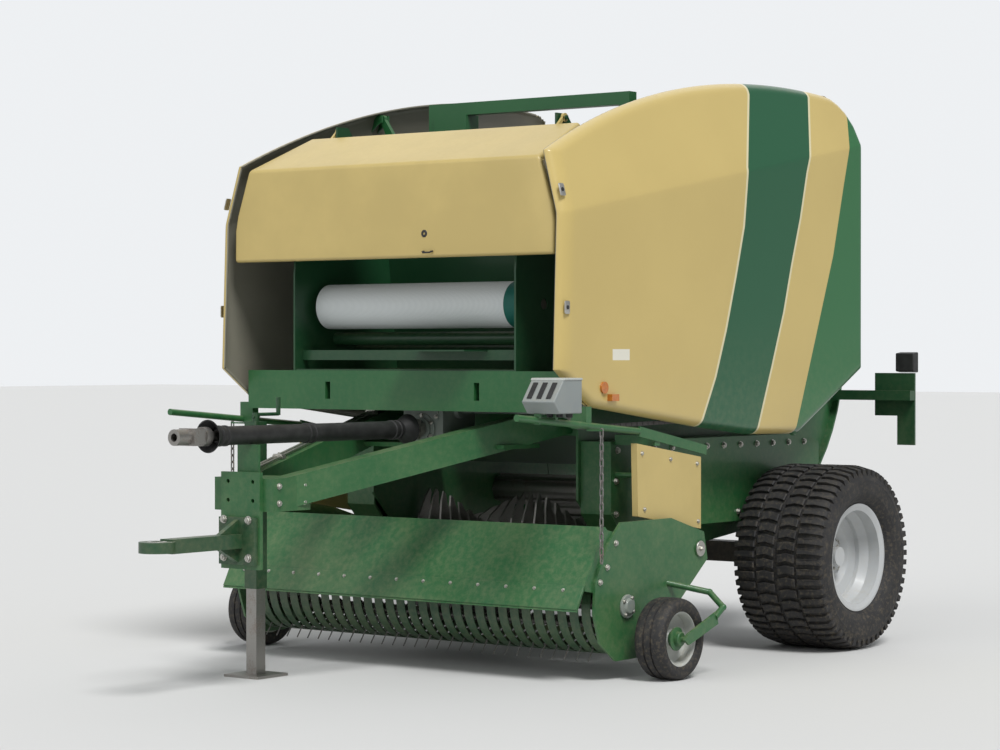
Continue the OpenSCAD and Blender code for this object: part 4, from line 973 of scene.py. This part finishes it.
def crease_height(x):
    """Height of the crease, which rises to the rear."""
    return 2030 + (hood_front - x) * math.tan(crease_turn)


def hood_out(x, z):
    """Distance of the hood's face from the machine's middle, less above the crease."""
    over = (z - crease_height(x)) * math.cos(crease_turn)
    return hood_side - hood_lean * (over + np.sqrt(over**2 + crease_soft**2)) / 2


def hood_shell():
    """Grid s along the hood and t up it. One row lies on the crease, with others close by; rows and
    columns also crowd at the outline, where the face drops by a quarter circle, drawn out along the
    front edge; then the rim runs straight in. Each row is a share of the height below or above the
    crease, and a distance."""
    front_steps = 1 - np.cos(np.linspace(0.1, 1.5, 12))
    s = spread(190, edge_round / hood_length)
    s = np.sort(np.concatenate([s, 1 - front_round / hood_length * front_steps]))
    xb, xt = (hood_rear + (front - hood_rear) * s for front in (hood_front, 2055))
    zb, zt = hood_bottom(xb), hood_top(xt)
    least_height, above_crease, crease_share = 300, 70, 0.69
    zt = np.maximum(zt, zb + least_height)
    crease = np.minimum(crease_height(xb + (xt - xb) * crease_share), zt - above_crease)
    rim_steps = edge_round * (1 - np.cos(np.linspace(0, np.pi / 2, 8)))
    near = np.array([20, 12, 7, 3])
    share = np.concatenate([np.zeros(8), np.linspace(0, 1, 72)[1:-1], np.ones(4)])[:, None]
    apart = np.concatenate([rim_steps, np.linspace(edge_round, -20, 72)[1:-1], -near])[:, None]
    below = zb + share * (crease - zb) + apart
    share = np.concatenate([np.zeros(5), np.linspace(0, 1, 30)[1:-1], np.ones(8)])[:, None]
    apart = [[0], near[::-1], np.linspace(20, -edge_round, 30)[1:-1], -rim_steps[::-1]]
    above = crease + share * (zt - crease) + np.concatenate(apart)[:, None]
    z = np.concatenate([below, above])
    lean = (z - zb) / (zt - zb)
    x = xb + (xt - xb) * lean
    low, high = np.stack([xb, zb], 1), np.stack([xt, zt], 1)[::-1]
    outline = np.concatenate([low[::6], low[-1:], high[::4], high[-1:]])
    ahead = np.clip(xb[-1] + (xt[-1] - xb[-1]) * lean - x, 0, None) * edge_round / front_round
    edges = np.minimum(inside_distance(x, z, outline), ahead)
    y = hood_out(x, z) - turned_in(edges, edge_round)
    grid = np.stack([x, y, z], -1).reshape(-1, 3)
    rim = rim_loop(*x.shape)
    rows = [grid[rim] - [0, depth, 0] for depth in (2, flange_depth - edge_round)]
    n, k = x.size, len(rim)
    here, after = np.arange(k) + n, np.roll(np.arange(k), -1) + n
    first = np.stack([np.roll(rim, -1), rim, here, after], -1)
    second = np.stack([after, here, here + k, after + k], -1)
    faces = np.concatenate([quads(*x.shape), first, second])
    return np.concatenate([grid, *rows]), [faces[:, ::-1]]


def slanted(height, table):
    """A line on the hood: its place along the machine for each height, in metres."""
    stops = [(z / 3, (x + 1) / 2.5) for z, x in table]
    ramp = height.node("ShaderNodeValToRGB", {"stops": stops}, {0: height / 3})
    return ramp * 2.5 - 1


def hood_finish():
    """Moulded shell in beige. A dark green stripe with pale edges runs down it, steep above and
    slanting forward below, then comes beige again and the green rear corner. Inside it is grey."""
    finish = Finish("hood_shell", "beige_shell", coat_weight=0.25, coat_roughness=0.08, ior=1.45)
    x, z = finish.x - AXLE, finish.z
    ahead = [(1.04, 1.02), (1.32, 0.86), (1.54, 0.769), (1.80, 0.681)]
    ahead = slanted(z, ahead + [(2.03, 0.611), (2.31, 0.574), (2.67, 0.41)])
    behind = [(1.04, 0.515), (1.362, 0.375), (1.633, 0.262), (1.86, 0.19)]
    behind = slanted(z, behind + [(2.088, 0.108), (2.315, 0.045), (2.70, -0.106)])
    corner = [(1.04, 0.153), (1.176, 0.096), (1.545, -0.059), (1.917, -0.214)]
    corner = slanted(z, corner + [(2.265, -0.316), (2.6, -0.42), (2.8, -0.47)])
    soft, pale = 0.0012, 0.016
    in_stripe = (ahead - x).between(-soft, soft) * (x - behind).between(-soft, soft)
    near_edge = (ahead - x + pale).between(-soft, soft) * (x - behind + pale).between(-soft, soft)
    in_corner = (corner - x).between(-soft, soft)
    sticker = (x - 1.572).between(0, soft) * (1.705 - x).between(0, soft)
    sticker = sticker * (z - 1.40).between(0, soft) * (1.45 - z).between(0, soft)
    outside = (finish.side * finish.y).between(-0.05, 0.0)
    clouds = finish.noise(1.7, 4)
    base = clouds.between(0.3, 0.75).blend((0.53, 0.405, 0.145), shell_paint)
    for area, colour in (
        (near_edge, (0.66, 0.60, 0.38)),
        (in_stripe, (0.008, 0.088, 0.034)),
        (in_corner, (0.022, 0.135, 0.042)),
        (sticker, (0.72, 0.70, 0.60)),
    ):
        base = area.blend(base, colour)
    base = outside.blend(clouds.between(0.3, 0.7).blend((0.20, 0.19, 0.15), (0.25, 0.24, 0.19)), base)
    grit = finish.noise(30, 5, 0.7)
    low = 1 - z.between(1.0, 1.7)
    film = grit.between(0.3, 0.85) * (low * 0.14 + finish.up.between(0.3, 0.95) * 0.25)
    waves = finish.noise(6, 2) * 0.8 + finish.noise(300, 1) * 0.1
    finish.set(
        base_color=film.blend(base, straw_dust),
        roughness=film * 0.4 + (1 - outside) * 0.3 + 0.30 + grit * 0.05,
        normal=finish.bump(waves, 0.08, 0.002),
    )
    return finish


def on_hood(x, z):
    """A place on the left hood's face and the direction in which the face looks."""
    gap = 4
    slope_x = (hood_out(x - gap, z) - hood_out(x + gap, z)) / gap / 2
    slope_z = (hood_out(x, z - gap) - hood_out(x, z + gap)) / gap / 2
    return np.array([x, hood_out(x, z), z]), unit(np.array([slope_x, 1, slope_z]))


def boss(spot, facing, outline, rings):
    """A low boss on a face. Each of its rings is the outline at a scale and a height."""
    along = unit(np.cross(UP, facing))
    flat = outline @ np.stack([along, np.cross(facing, along)])
    verts = [spot + flat * scale + facing * height for scale, height in rings]
    return capped(np.concatenate(verts), len(rings), len(outline))


half_wide, half_high, corner_radius = 17, 28, 6
quarter = np.linspace(0, math.pi / 2, 5)
quarter = np.stack([np.cos(quarter), np.sin(quarter)], 1) * corner_radius
quarter += [half_wide - corner_radius, half_high - corner_radius]
rounded = [quarter, quarter[::-1] * [-1, 1], -quarter, quarter[::-1] * [1, -1]]
plate_rings = [(1, -1), (1, 3), (1 - 1 / half_wide, 4)]
plates, keys = [], []
for z in (1628, 2134):
    spot, facing = on_hood(2048, z)
    plates.append(boss(spot, facing, np.concatenate(rounded), plate_rings))
    keys.append(boss(spot + facing * 3, facing, disc(9, 24), [(1, 0), (1, 3.2), (0.85, 4)]))
hood_paint, shell = hood_finish(), hood_shell()
for side, name in hands:
    body = f"side_hood_{name}"
    thicken(add(f"hood_shell_{name}", handed(shell, side), hood_paint, body, body), 10, -1)
    add(f"hood_lock_plates_{name}", handed(gather(*plates), side), zinc, body)
    add(f"hood_lock_keys_{name}", handed(gather(*keys), side), guard, body)


def lens(name, axis, pitch, gloss, dark, light):
    """Clear moulded plastic with a grid of small facets, along the machine (0) or across it (1) and
    upwards."""
    finish = Finish(name, name, coat_weight=0.8, ior=1.5)
    facets = ((finish.x, finish.y)[axis] * pitch).sine() * (finish.z * pitch).sine()
    return finish.set(
        base_color=finish.noise(60, 2).between(0.2, 0.8).blend(dark, light),
        roughness=gloss + facets * 0.05,
        normal=finish.bump(facets, 0.3, 0.0005),
    )


amber = lens("amber_lens", 0, 1300, 0.18, (0.42, 0.12, 0.01), (0.54, 0.17, 0.012))
amber.on("hood_markers_left", "hood_markers_right")

# ------------------------------
# Chains of the side rails
# A length of welded round-link chain hangs from the hook of each rail, for the safety chain and the
# drive shaft. Links alternate by a quarter turn.


def link_wire(turned_link):
    """One link: a stadium of round wire, its straights upright."""
    bend_radius, half_straight, wire_radius = 7.5, 12, 3.4
    bend = np.linspace(0, math.pi, 9)
    upper = np.stack([np.cos(bend), np.sin(bend)], 1) * bend_radius + [0, half_straight]
    wide, high = np.concatenate([upper, -upper]).T
    path = [wide, 0 * wide, high] if turned_link else [0 * wide, wide, high]
    up = LEFT if turned_link else AHEAD
    return sweep(np.stack(path, 1), disc(wire_radius, 8), up, True)


link_drop = 32
links = [handed(link_wire(i % 2), 1, (1901, 1078, 1086.3 - link_drop * i)) for i in range(18)]
add("hanging_chains", mirrored(gather(*links)), chain_steel, "chassis", "guard_chains")

# ------------------------------
# Control box
# A moulded grey box with a lighter lid, on the left side rail. Its slanted face has three deep slots
# for levers, drawn as black strips on it: painted shade for their depth. Plug sockets sit below.

case = slab([(2105, 1176), (2270, 1176), (2310, 1226), (2240, 1318), (2105, 1318)], 950, 1120)
lid = slab([(2103, 1316), (2243, 1316), (2236, 1327), (2103, 1327)], 947, 1123)
grey_box = sprayed("control_box_grey", "grey_paint", (0.24, 0.27, 0.27), 0.55, 0.6, 0.05)
light_lid = sprayed("control_box_lid", "grey_paint", (0.42, 0.45, 0.44), 0.5, 0.6, 0.05)
bevel(add("control_box_case", case, grey_box, "chassis", "control_box"), 5, 3)
bevel(add("control_box_lid", lid, light_lid, "chassis"), 4, 3)
face_low, face_high = np.array([2309, 1231]), np.array([2244, 1317])
up_face = face_high - face_low
proud = unit(up_face[::-1] * [1, -1]) * 2.2
low, high = face_low + up_face * 0.12, face_low + up_face * 0.88
gland = [(15, 0), (15, -14), (12, -18)]
half_slot = 12
slot_shades, glands = [], []
for y in (985, 1035, 1085):
    # each slot is a black strip standing just proud of the face: painted shade where the slot goes deep
    slot_shades.append(slab([low, high, high + proud, low + proud], y - half_slot, y + half_slot))
    glands.append(lathe(gland, (2150, y, 1176), "z", 24))
add("control_box_slot_shades", gather(*slot_shades, *glands), guard, "chassis")

# ------------------------------
# Tailgate cover, cylinders and lamps
# The cover has three pressed beads and rows of screws along its edges. Each lamp is a dark housing
# with a red and an amber lens to the rear, above a red triangle.

cover_radius = 950


def arc_bead(degrees):
    """A raised bead across the cover at one angle round the chamber, its ends run out to nothing."""
    half_round = np.linspace(-math.pi / 2, math.pi / 2, 9)
    wide, high = np.sin(half_round) * 16, np.cos(half_round) * 5
    y = np.linspace(-550, 550, 45)[:, None]
    fade = np.sqrt(np.clip(1 - (np.clip(np.abs(y) - 510, 0, None) / 40) ** 2, 0.0004, 1))
    turn = math.radians(degrees)
    out, aside = cover_radius - 1 + high * fade, wide * (0.4 + 0.6 * fade)
    x = math.cos(turn) * out - math.sin(turn) * aside
    z = chamber_height + math.sin(turn) * out + math.cos(turn) * aside
    return capped(np.stack([x, np.broadcast_to(y, x.shape), z], -1), *x.shape)


beads = gather(*[arc_bead(degrees) for degrees in (110, 125, 140)])
add("tailgate_cover_beads", beads, beige_panel, "tailgate")
angles = np.radians(np.arange(99, 158, 4.0))
spots = on_circle(angles, cover_radius, (0, 588, chamber_height))
cover_screws = bolts(4.2, spots, on_circle(angles, 1, (0, 0, 0)))
add("tailgate_cover_screws", mirrored(cover_screws), zinc, "tailgate")

chrome = Finish("rod_chrome", "worked_steel", metallic=1.0, ior=1.5)
sheen = chrome.noise(120, 2).between(0.3, 0.7)
chrome.set(
    base_color=sheen.blend((0.78, 0.79, 0.80), (0.83, 0.84, 0.85)),
    roughness=chrome.noise(200, 2) * 0.04 + 0.10,
)
chrome.on("rod_left", "rod_right")

housing = slab([(-915, 1332), (-862, 1338), (-862, 1432), (-915, 1438)], 992, 1098)
bevel(add("lamp_housings", mirrored(housing), guard, "tailgate", "rear_lamps"), 6, 3)
red = lens("red_lens", 1, 1500, 0.2, (0.33, 0.012, 0.01), (0.45, 0.02, 0.015))
for label, low, high, finish in (("red", 1342, 1392, red), ("amber", 1394, 1430, amber)):
    pane = slab([(1003, low), (1087, low), (1087, high), (1003, high)], -920, -912, "x")
    bevel(add(f"lamp_{label}", mirrored(pane), finish, "tailgate"), 2)
middle, corners = np.array([1051, 993]), np.array([(1004, 965), (1098, 965), (1051, 1046)])
outer = slab(corners, -888, -880, "x")
inner = slab(middle + (corners - middle) * 0.62, -890, -888, "x")
bevel(add("warning_triangles", mirrored(gather(outer, inner)), red, "tailgate"), 1.5)

# ------------------------------
# Bring the scene's placements up to date

bpy.context.view_layer.update()
